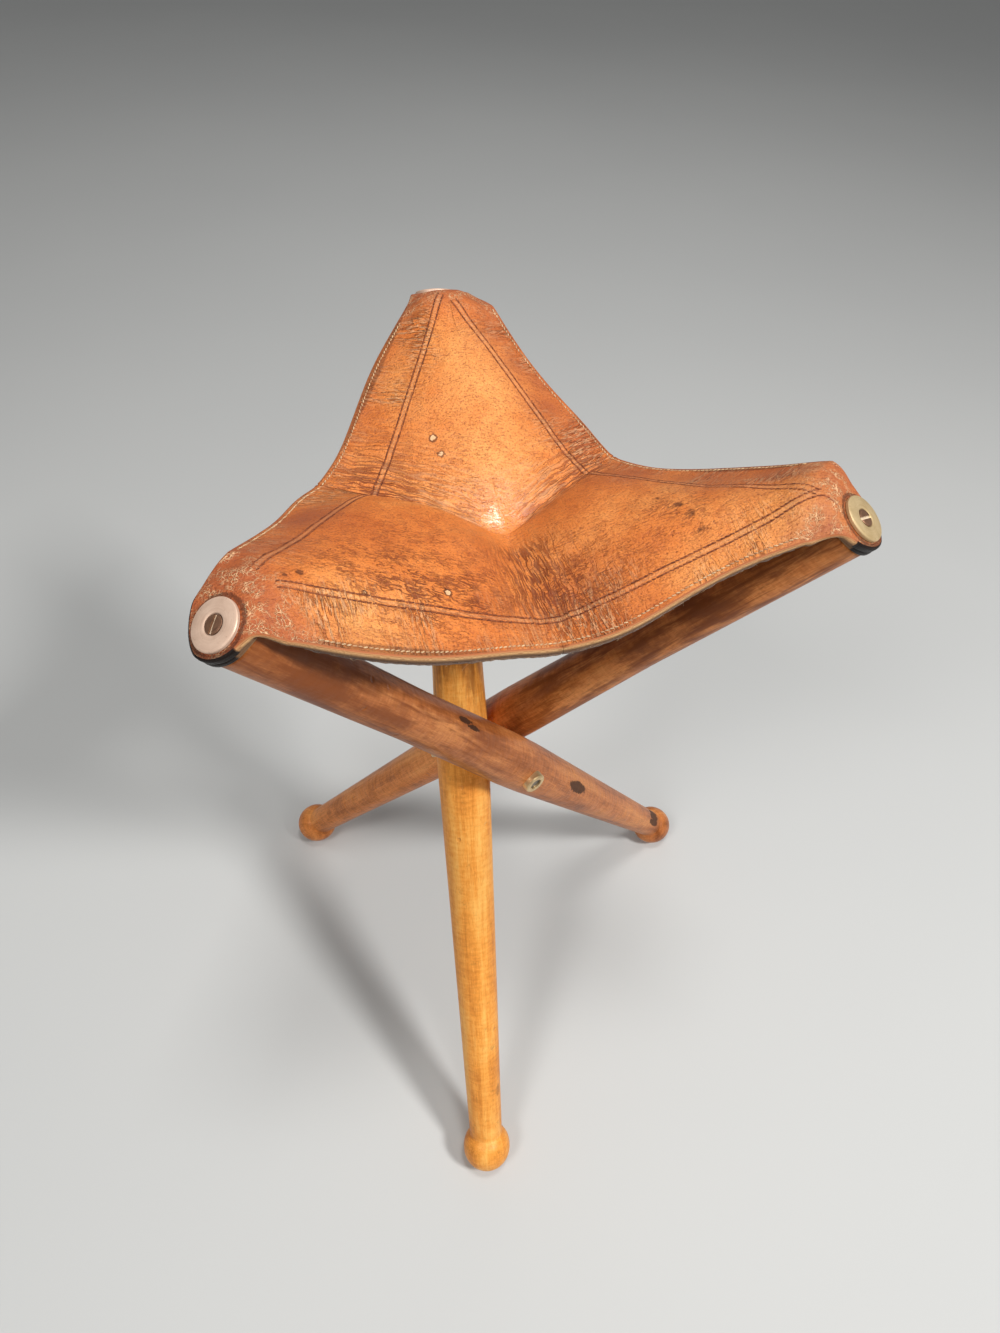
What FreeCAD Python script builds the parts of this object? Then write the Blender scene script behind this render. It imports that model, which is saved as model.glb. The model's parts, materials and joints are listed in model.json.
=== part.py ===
"""Folding tripod stool: three turned legs on a three-armed bolt, with a saddle leather sling seat.

The floor is z = 0 and the three-fold axis of the stool is the Z axis, in millimetres. Each leg
crosses the axis at hub_offset and turns on one arm of the bolt, which points straight out from the
axis. The leather is hung from the three upper leg ends, where a tongue folds over the end face
under a disc and a screw.
"""
import FreeCAD, Part
import math
import os

import Sketcher

doc = FreeCAD.newDocument("TripodStool")
sheet = doc.addObject("Spreadsheet::Sheet", "Sizes")

# Driving dimensions in millimetres, and the opening angle in degrees
SIZES = {
    # legs, measured along the leg from the bolt
    "open_tilt": 35.3,
    "foot_reach": 287.0,
    "top_reach": 245.0,
    "ball_radius": 15.5,
    "foot_flat": 0.4,
    "neck_radius": 10.6,
    "barrel_radius": 15.75,
    "barrel_half": 14.0,
    "upper_radius": 13.0,
    "upper_station": 120.0,
    "top_radius": 12.5,
    "top_chamfer": 1.2,
    "leg_gap": 1.1,
    # three-armed bolt, its washers and round nuts
    "arm_radius": 3.5,
    "boss_radius": 3.9,
    "turning_clearance": 0.07,
    "counterbore_depth": 3.2,
    "washer_thickness": 1.0,
    "washer_play": 0.2,
    "nut_radius": 6.5,
    "nut_length": 5.2,
    "nut_chamfer": 0.6,
    "counterbore_clearance": 0.5,
    "bolt_end_recess": 1.1,
    "thread_clearance": 0.03,
    # end discs and their screws
    "disc_radius": 10.4,
    "disc_thickness": 2.0,
    "disc_chamfer": 0.4,
    "sunk_margin": 0.8,
    "sunk_depth": 0.5,
    "screw_head_radius": 3.85,
    "screw_head_dome": 0.45,
    "countersink_slope": 0.5,
    "screw_shank_radius": 2.2,
    "screw_grip": 26.0,
    "screw_point": 6.0,
    "slot_width": 1.3,
    "slot_depth": 0.9,
    "seat_clearance": 0.05,
    # leather
    "hide_thickness": 3.2,
    "band_thickness": 2.6,
    "band_width": 28.0,
    "patch_thickness": 2.8,
    "layer_gap": 0.1,
    "tongue_margin": 4.2,
    "patch_inset": 0.6,
    "fold_radius": 2.5,
    "fold_inset": 1.0,
    "screw_hole_clearance": 0.8,
    "edge_reach": 84.0,
    "edge_bow": 3.0,
    "edge_drop": 45.5,
    "dimple_drop": 52.0,
    "dimple_inradius": 5.0,
    "band_end_setback": 9.0,
    "band_joint_gap": 0.8,
}
for row, (alias, value) in enumerate(SIZES.items(), start=1):
    sheet.set(f"A{row}", str(value))
    sheet.setAlias(f"A{row}", alias)
doc.recompute()

# Exponents of the seat's curves: how the crown rises from the dimple, and the edge from its middle
CROWN_POWER = 1.8
EDGE_POWER = 1.35
# Where the seat's cross sections stand, as shares of the inner and the outer stretch of a lobe
INNER_STATIONS = (0.0, 0.3, 0.65, 1.0)
OUTER_STATIONS = (0.0, 0.25, 0.5, 0.75, 0.9, 1.0)

# The seat's three lobes: the angle from one to the next, and from a lobe's middle to its valley
LOBE_STEP = 120.0
VALLEY_ANGLE = LOBE_STEP / 2

# Each leg by letter: the direction of its foot from the axis, in degrees
FOOT_AZIMUTH = {"a": 30.0, "b": -90.0, "c": 150.0}
# Each edge band by name: the lobes on its two sides, in the order that has the edge on the first's left
BAND_LOBES = {"front": ("a", "c"), "right": ("c", "b"), "left": ("b", "a")}

TILT = "Sizes.open_tilt * 1deg"
# Two neighbouring legs clear each other by leg_gap where their barrels pass
HUB_OFFSET = (
    "((2 * Sizes.barrel_radius + Sizes.leg_gap)"
    f" * sqrt(3 * cos({TILT})^2 + 0.75 * sin({TILT})^2) / (3 * cos({TILT})))"
)
# Distances from the axis along a bolt arm
BORE_FLOOR = f"({HUB_OFFSET} + Sizes.barrel_radius - Sizes.counterbore_depth)"
WASHER_BACK = f"({BORE_FLOOR} + Sizes.washer_play)"
NUT_BACK = f"({WASHER_BACK} + Sizes.washer_thickness)"
# Heights above the leg's upper end face
TONGUE_BACK = "(Sizes.patch_thickness + Sizes.layer_gap)"
DISC_BACK = f"({TONGUE_BACK} + Sizes.hide_thickness + Sizes.layer_gap)"
HEAD_RIM = f"({DISC_BACK} + Sizes.disc_thickness - Sizes.sunk_depth)"
# Radii that follow the disc and its screw, and the fold's distance from the leg's axis
SUNK_RADIUS = "(Sizes.screw_head_radius + Sizes.sunk_margin)"
TONGUE_RADIUS = "(Sizes.disc_radius + Sizes.tongue_margin)"
SCREW_HOLE_RADIUS = "(Sizes.screw_shank_radius + Sizes.screw_hole_clearance)"
FOLD_SETBACK = "(Sizes.top_radius - Sizes.fold_inset)"
# Depth of the screw's countersink
HEAD_DEPTH = "((Sizes.screw_head_radius - Sizes.screw_shank_radius) * Sizes.countersink_slope)"

UP = FreeCAD.Vector(0, 0, 1)
AXIS_POINT = FreeCAD.Vector(0, 0, 0)
FULL_TURN = 360.0
HALF_TURN = 180.0
QUARTER_TURN = 90.0
# Lengths and volumes under this count as nothing
TINY = 1e-6


def number(expression):
    """The present value of an expression over the sheet."""
    return float(sheet.evalExpression(expression))


def size(alias):
    """The present value of one driving dimension."""
    return number(f"Sizes.{alias}")


def plane_of(body, role):
    """The body's own origin plane with this role."""
    return next(item for item in body.Origin.OriginFeatures if item.Role == role)


def new_sketch(body, name, role, offset=None):
    """A sketch on one of the body's origin planes, set off along its normal by an expression."""
    sketch = body.newObject("Sketcher::SketchObject", name)
    sketch.AttachmentSupport = [(plane_of(body, role), "")]
    sketch.MapMode = "FlatFace"
    if offset:
        sketch.setExpression("AttachmentOffset.Base.z", offset)
    return sketch


def bind(sketch, constraint, expression):
    """Adds a dimension and ties it to the sheet."""
    index = sketch.addConstraint(constraint)
    sketch.setExpression(f"Constraints[{index}]", expression)


def pin(sketch, item, end, x, y):
    """Ties a sketch point to an expression for each coordinate; None leaves one free."""
    for kind, axis, expression in (("DistanceX", -2, x), ("DistanceY", -1, y)):
        if expression is None:
            continue
        if expression == "0":
            sketch.addConstraint(Sketcher.Constraint("PointOnObject", item, end, axis))
        else:
            value = number(expression)
            bind(sketch, Sketcher.Constraint(kind, -1, 1, item, end, value), expression)


def outline(sketch, points):
    """Draws a closed outline of straight lines through points given as pairs of expressions."""
    corners = [FreeCAD.Vector(number(x), number(y), 0) for x, y in points]
    count = len(points)
    for i, corner in enumerate(corners):
        sketch.addGeometry(Part.LineSegment(corner, corners[(i + 1) % count]), False)
    for i in range(count):
        sketch.addConstraint(Sketcher.Constraint("Coincident", i, 2, (i + 1) % count, 1))
    for i, (x, y) in enumerate(points):
        pin(sketch, i, 1, x, y)


def circle(sketch, radius):
    """Draws a circle about the sketch's origin."""
    item = sketch.addGeometry(Part.Circle(AXIS_POINT, UP, number(radius)), False)
    sketch.addConstraint(Sketcher.Constraint("Coincident", item, 3, -1, 1))
    bind(sketch, Sketcher.Constraint("Radius", item, number(radius)), radius)


def revolve(body, sketch):
    """Turns a profile drawn in the XZ plane about the body's Z axis."""
    feature = body.newObject("PartDesign::Revolution", "Turned")
    feature.Profile = sketch
    feature.ReferenceAxis = (sketch, ["V_Axis"])
    feature.Angle = FULL_TURN
    return feature


def pocket(body, sketch, length=None, through=False, outward=False, both_ways=False):
    """Cuts a sketch into the body, to a length from the sheet or right through."""
    before = body_volume(body)
    feature = body.newObject("PartDesign::Pocket", "Cut")
    feature.Profile = sketch
    feature.Type = "ThroughAll" if through else "Length"
    if length:
        feature.setExpression("Length", length)
    feature.Reversed = outward
    feature.SideType = "Symmetric" if both_ways else "One side"
    if not body_volume(body) < before - TINY:
        raise RuntimeError(f"{body.Label}: {sketch.Name} cuts nothing")
    return feature


def body_volume(body):
    """The body's volume after a recompute."""
    doc.recompute()
    return body.Shape.Volume


def new_body(label):
    """An empty body whose label is the piece's name."""
    body = doc.addObject("PartDesign::Body", label)
    body.Label = label
    return body


# Where things stand in the stool


def hub_height():
    """Height of the bolt above the floor, with each ball foot standing on its flat."""
    return number(f"Sizes.foot_reach * cos({TILT}) + Sizes.ball_radius - Sizes.foot_flat")


def leg_placement(letter):
    """Leg frame in the stool: origin on the bolt, X out along its arm, Z up the leg."""
    azimuth = FOOT_AZIMUTH[letter]
    turn = FreeCAD.Rotation(UP, azimuth)
    lean = FreeCAD.Rotation(FreeCAD.Vector(0, 1, 0), -size("open_tilt"))
    quarter = FreeCAD.Rotation(UP, -QUARTER_TURN)
    arm = turn.multVec(FreeCAD.Vector(0, -number(HUB_OFFSET), hub_height()))
    return FreeCAD.Placement(arm, turn * lean * quarter)


def end_placement(letter, height):
    """A frame on the leg's axis at a height, given as an expression, above its upper end face."""
    above = number(f"Sizes.top_reach + {height}")
    return leg_placement(letter).multiply(FreeCAD.Placement(FreeCAD.Vector(0, 0, above), FreeCAD.Rotation()))


def arm_placement(letter):
    """A frame on the three-fold axis at bolt height, with Z out along this leg's arm."""
    turn = FreeCAD.Rotation(UP, FOOT_AZIMUTH[letter] - QUARTER_TURN)
    lay = FreeCAD.Rotation(FreeCAD.Vector(0, 1, 0), QUARTER_TURN)
    return FreeCAD.Placement(FreeCAD.Vector(0, 0, hub_height()), turn * lay)


def make_leg(letter):
    """A turned leg: straight upper part, barrel at the bolt, long taper, ball foot with a worn flat."""
    body = new_body(f"leg_{letter}")
    profile = new_sketch(body, "Profile", "XZ_Plane")
    ball = "-Sizes.foot_reach"
    ball_end = f"{ball} - Sizes.ball_radius"
    neck = f"{ball} + sqrt(Sizes.ball_radius^2 - Sizes.neck_radius^2)"
    points = [
        ("0", "Sizes.top_reach"),
        ("Sizes.top_radius - Sizes.top_chamfer", "Sizes.top_reach"),
        ("Sizes.top_radius", "Sizes.top_reach - Sizes.top_chamfer"),
        ("Sizes.upper_radius", "Sizes.upper_station"),
        ("Sizes.barrel_radius", "Sizes.barrel_half"),
        ("Sizes.barrel_radius", "-Sizes.barrel_half"),
        ("Sizes.neck_radius", neck),
    ]
    corners = [FreeCAD.Vector(number(x), number(y), 0) for x, y in points]
    for start, stop in zip(corners, corners[1:]):
        profile.addGeometry(Part.LineSegment(start, stop), False)
    last = len(points) - 2
    centre = FreeCAD.Vector(0, number(ball), 0)
    neck_angle = math.asin((corners[-1].y - centre.y) / size("ball_radius"))
    sphere = Part.Circle(centre, UP, size("ball_radius"))
    arc = profile.addGeometry(Part.ArcOfCircle(sphere, -math.pi / 2, neck_angle), False)
    foot = FreeCAD.Vector(0, number(ball_end), 0)
    axis = profile.addGeometry(Part.LineSegment(foot, corners[0]), False)
    for i in range(last):
        profile.addConstraint(Sketcher.Constraint("Coincident", i, 2, i + 1, 1))
    profile.addConstraint(Sketcher.Constraint("Coincident", last, 2, arc, 2))
    profile.addConstraint(Sketcher.Constraint("Coincident", arc, 1, axis, 1))
    profile.addConstraint(Sketcher.Constraint("Coincident", axis, 2, 0, 1))
    for i, (x, y) in enumerate(points[:-1]):
        pin(profile, i, 1, x, y)
    pin(profile, last, 2, "Sizes.neck_radius", None)
    pin(profile, arc, 3, "0", ball)
    bind(profile, Sketcher.Constraint("Radius", arc, size("ball_radius")), "Sizes.ball_radius")
    profile.addConstraint(Sketcher.Constraint("PointOnObject", axis, 1, -2))
    revolve(body, profile)

    bore = new_sketch(body, "BoltBore", "YZ_Plane")
    circle(bore, "Sizes.arm_radius + Sizes.turning_clearance")
    pocket(body, bore, through=True, both_ways=True)

    seat = new_sketch(body, "NutCounterbore", "YZ_Plane", "Sizes.barrel_radius - Sizes.counterbore_depth")
    circle(seat, "Sizes.nut_radius + Sizes.counterbore_clearance")
    pocket(body, seat, through=True, outward=True)

    pilot = new_sketch(body, "ScrewPilot", "XY_Plane", "Sizes.top_reach")
    circle(pilot, "Sizes.screw_shank_radius + Sizes.seat_clearance")
    pocket(body, pilot, length="Sizes.screw_grip + Sizes.screw_point")

    # The worn flat: everything under the floor, seen along the bolt
    flat = new_sketch(body, "FootFlat", "YZ_Plane")
    reach = "Sizes.ball_radius"
    drop = "(Sizes.ball_radius - Sizes.foot_flat)"
    corners = []
    for along, down in ((1, 0), (-1, 0), (-1, 1), (1, 1)):
        depth = f"({drop} + {down} * Sizes.ball_radius)"
        y = f"{along} * {reach} * cos({TILT}) - {depth} * sin({TILT})"
        z = f"{ball} - {along} * {reach} * sin({TILT}) - {depth} * cos({TILT})"
        corners.append((y, z))
    outline(flat, corners)
    pocket(body, flat, through=True, both_ways=True)
    body.Placement = leg_placement(letter)
    return body


def make_bolt():
    """The three-armed bolt: three arms from one small round boss on the axis."""
    boss = doc.addObject("Part::Sphere", "BoltBoss")
    boss.setExpression("Radius", "Sizes.boss_radius")
    boss.Placement = FreeCAD.Placement(FreeCAD.Vector(0, 0, hub_height()), FreeCAD.Rotation())
    arms = []
    for letter in FOOT_AZIMUTH:
        arm = doc.addObject("Part::Cylinder", f"BoltArm{letter}")
        arm.setExpression("Radius", "Sizes.arm_radius")
        arm.setExpression("Height", f"{NUT_BACK} + Sizes.nut_length - Sizes.bolt_end_recess")
        arm.Placement = arm_placement(letter)
        arms.append(arm)
    bolt = doc.addObject("Part::MultiFuse", "three_way_bolt")
    bolt.Shapes = [boss] + arms
    bolt.Label = "three_way_bolt"
    return bolt


def make_turned_ring(label, points, placement):
    """A ring turned from a profile of radius and height expressions."""
    body = new_body(label)
    profile = new_sketch(body, "Profile", "XZ_Plane")
    outline(profile, points)
    revolve(body, profile)
    body.Placement = placement
    return body


def make_washer(letter):
    """The washer on the floor of the counterbore."""
    bore = "Sizes.arm_radius + Sizes.thread_clearance"
    front = f"{WASHER_BACK} + Sizes.washer_thickness"
    points = [
        (bore, WASHER_BACK),
        ("Sizes.nut_radius", WASHER_BACK),
        ("Sizes.nut_radius", front),
        (bore, front),
    ]
    return make_turned_ring(f"nut_washer_{letter}", points, arm_placement(letter))


def make_nut(letter):
    """The round nut, standing proud of the leg, with the bolt's end sunk in its bore."""
    bore = "Sizes.arm_radius + Sizes.thread_clearance"
    front = f"{NUT_BACK} + Sizes.nut_length"
    points = [
        (bore, NUT_BACK),
        ("Sizes.nut_radius", NUT_BACK),
        ("Sizes.nut_radius", f"{front} - Sizes.nut_chamfer"),
        ("Sizes.nut_radius - Sizes.nut_chamfer", front),
        (bore, front),
    ]
    return make_turned_ring(f"round_nut_{letter}", points, arm_placement(letter))


def make_disc(letter):
    """The end disc: bevelled rim, sunk middle, countersunk hole."""
    sunk = "Sizes.disc_thickness - Sizes.sunk_depth"
    head = "Sizes.screw_head_radius + Sizes.seat_clearance"
    hole = "Sizes.screw_shank_radius + Sizes.seat_clearance"
    points = [
        (hole, "0"),
        ("Sizes.disc_radius", "0"),
        ("Sizes.disc_radius", "Sizes.disc_thickness - Sizes.disc_chamfer"),
        ("Sizes.disc_radius - Sizes.disc_chamfer", "Sizes.disc_thickness"),
        (SUNK_RADIUS, "Sizes.disc_thickness"),
        (SUNK_RADIUS, sunk),
        (head, sunk),
        (hole, f"{sunk} - {HEAD_DEPTH}"),
    ]
    return make_turned_ring(f"end_disc_{letter}", points, end_placement(letter, DISC_BACK))


def make_screw(letter):
    """The slotted countersunk wood screw, its head in the disc and its point in the leg."""
    body = new_body(f"disc_screw_{letter}")
    profile = new_sketch(body, "Profile", "XZ_Plane")
    face = f"{HEAD_RIM} + Sizes.screw_head_dome"
    points = [
        ("0", "-Sizes.screw_grip - Sizes.screw_point + Sizes.seat_clearance"),
        ("Sizes.screw_shank_radius", "-Sizes.screw_grip"),
        ("Sizes.screw_shank_radius", f"{HEAD_RIM} - {HEAD_DEPTH}"),
        ("Sizes.screw_head_radius", HEAD_RIM),
        ("Sizes.screw_head_radius - Sizes.slot_depth", face),
        ("0", face),
    ]
    outline(profile, points)
    revolve(body, profile)
    slot = new_sketch(body, "Slot", "XY_Plane", face)
    half = "Sizes.slot_width / 2"
    reach = "Sizes.screw_head_radius"
    corners = [(reach, half), (f"-{reach}", half), (f"-{reach}", f"-{half}"), (reach, f"-{half}")]
    outline(slot, corners)
    pocket(body, slot, length="Sizes.slot_depth")
    body.Placement = end_placement(letter, "0")
    return body


def make_patch(letter):
    """The leather lining under the tongue, with the tongue's outline a little inset."""
    body = new_body(f"corner_patch_{letter}")
    sketch = new_sketch(body, "Outline", "XY_Plane")
    tongue_outline(sketch, f"({TONGUE_RADIUS} - Sizes.patch_inset)", FOLD_SETBACK)
    pad = body.newObject("PartDesign::Pad", "Layer")
    pad.Profile = sketch
    pad.setExpression("Length", "Sizes.patch_thickness")
    hole = new_sketch(body, "ScrewHole", "XY_Plane")
    circle(hole, SCREW_HOLE_RADIUS)
    pocket(body, hole, length="Sizes.patch_thickness", outward=True)
    body.Placement = end_placement(letter, "0")
    return body


def tongue_outline(sketch, radius, setback):
    """A tongue on the end face: straight from the fold, half round past the screw.

    The leg frame's +Y points back towards the stool's axis and up the slope, so the fold lies there.
    """
    r = number(radius)
    back = number(setback)
    right = FreeCAD.Vector(r, 0, 0)
    left = FreeCAD.Vector(-r, 0, 0)
    right_fold = FreeCAD.Vector(r, back, 0)
    left_fold = FreeCAD.Vector(-r, back, 0)
    sketch.addGeometry(Part.LineSegment(right, right_fold), False)
    sketch.addGeometry(Part.LineSegment(right_fold, left_fold), False)
    sketch.addGeometry(Part.LineSegment(left_fold, left), False)
    round_end = Part.Circle(AXIS_POINT, UP, r)
    sketch.addGeometry(Part.ArcOfCircle(round_end, math.pi, 2 * math.pi), False)
    for first, second in ((0, 1), (1, 2)):
        sketch.addConstraint(Sketcher.Constraint("Coincident", first, 2, second, 1))
    sketch.addConstraint(Sketcher.Constraint("Coincident", 2, 2, 3, 1))
    sketch.addConstraint(Sketcher.Constraint("Coincident", 3, 2, 0, 1))
    sketch.addConstraint(Sketcher.Constraint("Coincident", 3, 3, -1, 1))
    pin(sketch, 0, 1, radius, "0")
    pin(sketch, 1, 1, radius, setback)
    pin(sketch, 2, 1, f"-{radius}", setback)
    pin(sketch, 2, 2, None, "0")


class Seat:
    """Places and heights of the leather, worked out from the legs it hangs on.

    A lobe is the third of the hide that belongs to one leg. In a lobe's own frame X points from the
    axis to the leg's upper end, and the lobe lies between two valleys at the valley angle to X.
    """

    def __init__(self):
        tilt = math.radians(size("open_tilt"))
        self.thickness = size("hide_thickness")
        self.tilt = tilt
        # The fold's axis: out along the leg's plan direction, and up
        face_out = size("top_reach") * math.sin(tilt)
        face_up = hub_height() + size("top_reach") * math.cos(tilt)
        rise = number(TONGUE_BACK) - size("fold_radius")
        setback = number(FOLD_SETBACK)
        self.fold_out = face_out + rise * math.sin(tilt) - setback * math.cos(tilt)
        self.fold_up = face_up + rise * math.cos(tilt) + setback * math.sin(tilt)
        self.top = self.fold_up + size("fold_radius") + self.thickness
        self.dimple = self.top - size("dimple_drop")
        self.edge = self.top - size("edge_drop")
        # The leg's plan line passes beside the axis, so the corner stands a little off that line
        self.side = number(HUB_OFFSET)
        self.skew = math.atan2(self.side, size("top_reach") * math.sin(tilt))
        self.valley_slope = math.tan(math.radians(VALLEY_ANGLE))
        self.middle = size("edge_reach") * math.cos(math.radians(VALLEY_ANGLE))
        self.fold_x = self.fold_out * math.cos(self.skew) + self.side * math.sin(self.skew)
        self.fold_y = self.side * math.cos(self.skew) - self.fold_out * math.sin(self.skew)

    def azimuth(self, letter):
        """Direction of the lobe's X axis, in degrees."""
        return FOOT_AZIMUTH[letter] + HALF_TURN + math.degrees(self.skew)

    def crown(self, x):
        """Height of the leather along the middle of a lobe."""
        share = min(x / self.fold_x, 1.0)
        return self.dimple + size("dimple_drop") * (1 - (1 - share) ** CROWN_POWER)

    def valley(self, x):
        """Height of the leather along a valley, at a place measured along the lobe's X."""
        return self.dimple + (self.edge - self.dimple) * x / self.middle

    def section(self, x, y, yaw, half, side_height, mid_height, drop, thickness):
        """A cross section of one leather layer, in a vertical plane, as a closed wire."""
        across = FreeCAD.Vector(-math.sin(yaw), math.cos(yaw), 0)
        middle = FreeCAD.Vector(x, y, 0)

        def edge_at(lower):
            left = middle + across * half + UP * (side_height - lower)
            right = middle - across * half + UP * (side_height - lower)
            if abs(mid_height - side_height) < TINY:
                return Part.LineSegment(right, left).toShape(), right, left
            crest = middle + UP * (mid_height - lower)
            return Part.Arc(right, crest, left).toShape(), right, left

        upper, upper_right, upper_left = edge_at(drop)
        lower, lower_right, lower_left = edge_at(drop + thickness)
        left_side = Part.LineSegment(upper_left, lower_left).toShape()
        right_side = Part.LineSegment(lower_right, upper_right).toShape()
        return Part.Wire([upper, left_side, lower, right_side])

    def inner(self, drop, thickness):
        """The stretch of a lobe between the dimple and the middles of its two edges."""
        start = size("dimple_inradius")
        wires = []
        for share in INNER_STATIONS:
            x = start + (self.middle - start) * share
            side = self.valley(x)
            mid = side if share == 0 else self.crown(x)
            wires.append(self.section(x, 0, 0, x * self.valley_slope, side, mid, drop, thickness))
        return Part.makeLoft(wires, True, False)

    def outer(self, drop, thickness):
        """The stretch of a lobe from the middles of its edges to the fold at the leg's end."""
        wide = self.middle * self.valley_slope
        narrow = number(TONGUE_RADIUS)
        wires = []
        for share in OUTER_STATIONS:
            x = self.middle + (self.fold_x - self.middle) * share
            half = wide + (narrow - wide) * share + size("edge_bow") * 4 * share * (1 - share)
            side = self.edge + (self.top - self.edge) * share**EDGE_POWER
            mid = side if share == 1 else self.crown(x)
            yaw = -self.skew * share
            wires.append(self.section(x, self.fold_y * share, yaw, half, side, mid, drop, thickness))
        return Part.makeLoft(wires, True, False)

    def centre(self):
        """The small flat triangle of leather at the bottom of the dimple."""
        x = size("dimple_inradius")
        height = self.valley(x) - self.thickness
        spokes = [math.radians(self.azimuth(letter) + VALLEY_ANGLE) for letter in FOOT_AZIMUTH]
        reach = x / math.cos(math.radians(VALLEY_ANGLE))
        corners = [FreeCAD.Vector(reach * math.cos(s), reach * math.sin(s), height) for s in spokes]
        return Part.Face(Part.makePolygon(corners + corners[:1])).extrude(UP * self.thickness)

    def fold(self, letter):
        """The leather's turn over the leg's rim, and its tongue on the end face."""
        half = number(TONGUE_RADIUS)
        low = size("fold_radius")
        # In the plane of the leg: X out along the arm, Y back towards the axis, Z up
        corners = [
            FreeCAD.Vector(-half, 0, low),
            FreeCAD.Vector(half, 0, low),
            FreeCAD.Vector(half, 0, low + self.thickness),
            FreeCAD.Vector(-half, 0, low + self.thickness),
        ]
        strip = Part.Face(Part.makePolygon(corners + corners[:1]))
        turn = strip.revolve(AXIS_POINT, FreeCAD.Vector(1, 0, 0), size("open_tilt"))
        place = leg_placement(letter)
        arm = place.Rotation.multVec(FreeCAD.Vector(1, 0, 0))
        inward = UP.cross(arm)
        frame = FreeCAD.Rotation(arm, inward, UP, "XYZ")
        spot = arm * self.side - inward * self.fold_out + UP * self.fold_up
        turn.Placement = FreeCAD.Placement(spot, frame)

        back = number(FOLD_SETBACK)
        straight = Part.makeBox(2 * half, back, self.thickness, FreeCAD.Vector(-half, 0, 0))
        round_end = Part.makeCylinder(half, self.thickness)
        tongue = straight.fuse(round_end).removeSplitter()
        tongue = tongue.cut(Part.makeCylinder(number(SCREW_HOLE_RADIUS), self.thickness))
        tongue.Placement = end_placement(letter, TONGUE_BACK)
        return [turn, tongue]

    def band_zone(self, left):
        """A tall prism over the part of a lobe that one edge band covers, on its left or right half."""
        sign = 1 if left else -1
        inner_reach = size("edge_reach") - size("band_width")
        gap = size("band_joint_gap") / 2
        spread = math.radians(VALLEY_ANGLE)
        spoke = FreeCAD.Vector(math.cos(spread), sign * math.sin(spread), 0)
        stop_x = self.fold_x - size("band_end_setback")
        outside = size("edge_reach")
        points = [
            spoke * inner_reach,
            spoke * (inner_reach + outside),
            FreeCAD.Vector(stop_x, sign * outside, 0),
            FreeCAD.Vector(stop_x, sign * gap, 0),
            FreeCAD.Vector(stop_x - size("band_end_setback"), sign * gap, 0),
        ]
        base = Part.Face(Part.makePolygon(points + points[:1]))
        return base.extrude(UP * (2 * self.top))

    def turned(self, shape, letter):
        """A lobe's shape turned from its own frame into the stool's."""
        placed = shape.copy()
        placed.rotate(AXIS_POINT, UP, self.azimuth(letter))
        return placed

    def hide(self):
        """The whole hide: three lobes, the dimple's bottom, three folds and tongues."""
        inner = self.inner(0, self.thickness)
        outer = self.outer(0, self.thickness)
        pieces = [self.centre()]
        for letter in FOOT_AZIMUTH:
            pieces += [self.turned(inner, letter), self.turned(outer, letter)]
            pieces += self.fold(letter)
        return pieces[0].multiFuse(pieces[1:])

    def band(self, lobes):
        """One edge band: the second layer under the left half of one lobe and the right of the next."""
        layer = size("band_thickness")
        stretches = [self.inner(self.thickness, layer), self.outer(self.thickness, layer)]
        parts = []
        for letter, left in zip(lobes, (True, False)):
            zone = self.band_zone(left)
            parts += [self.turned(stretch.common(zone), letter) for stretch in stretches]
        return parts[0].multiFuse(parts[1:])


def make_leather(label, shape):
    """A leather piece whose form is worked out by Seat, as one solid."""
    feature = doc.addObject("Part::Feature", label)
    feature.Shape = shape.Solids[0] if len(shape.Solids) == 1 else shape
    feature.Label = label
    return feature


def build():
    """Makes every piece and returns them in order."""
    pieces = [make_bolt()]
    for letter in FOOT_AZIMUTH:
        pieces.append(make_leg(letter))
        pieces.append(make_washer(letter))
        pieces.append(make_nut(letter))
        pieces.append(make_patch(letter))
        pieces.append(make_disc(letter))
        pieces.append(make_screw(letter))
    seat = Seat()
    pieces.append(make_leather("seat_hide", seat.hide()))
    for side, lobes in BAND_LOBES.items():
        pieces.append(make_leather(f"edge_band_{side}", seat.band(lobes)))
    doc.recompute()
    return pieces


def check(pieces):
    """Stops if any object failed or any piece is not one sound solid."""
    for item in doc.Objects:
        if {"Invalid", "Error"} & set(item.State):
            raise RuntimeError(f"{item.Name} failed: {item.State}")
    for piece in pieces:
        shape = piece.Shape
        if shape.isNull() or not shape.isValid() or len(shape.Solids) != 1:
            raise RuntimeError(f"{piece.Label}: {len(shape.Solids)} solids, valid {shape.isValid()}")


def write(pieces):
    """Writes each piece under its own name."""
    os.makedirs("parts", exist_ok=True)
    for piece in pieces:
        piece.Shape.exportStep(f"parts/{piece.Label}.step")
        box = piece.Shape.BoundBox
        print(f"{piece.Label}: {piece.Shape.Volume:.0f} mm3, z {box.ZMin:.2f} to {box.ZMax:.2f}")


made = build()
check(made)
write(made)
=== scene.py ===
"""Looks of the folding tripod stool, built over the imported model.

Lengths are in millimetres until a mesh is written, in the stool's own frame: the floor is z = 0 and
the three-fold axis of the stool is Z.
"""

import json
import logging
import math
from dataclasses import dataclass
from enum import Enum
from functools import reduce
from operator import or_
from typing import Callable, Sequence

import bmesh
import bpy
import numpy as np
from mathutils import Matrix, Vector


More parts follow.
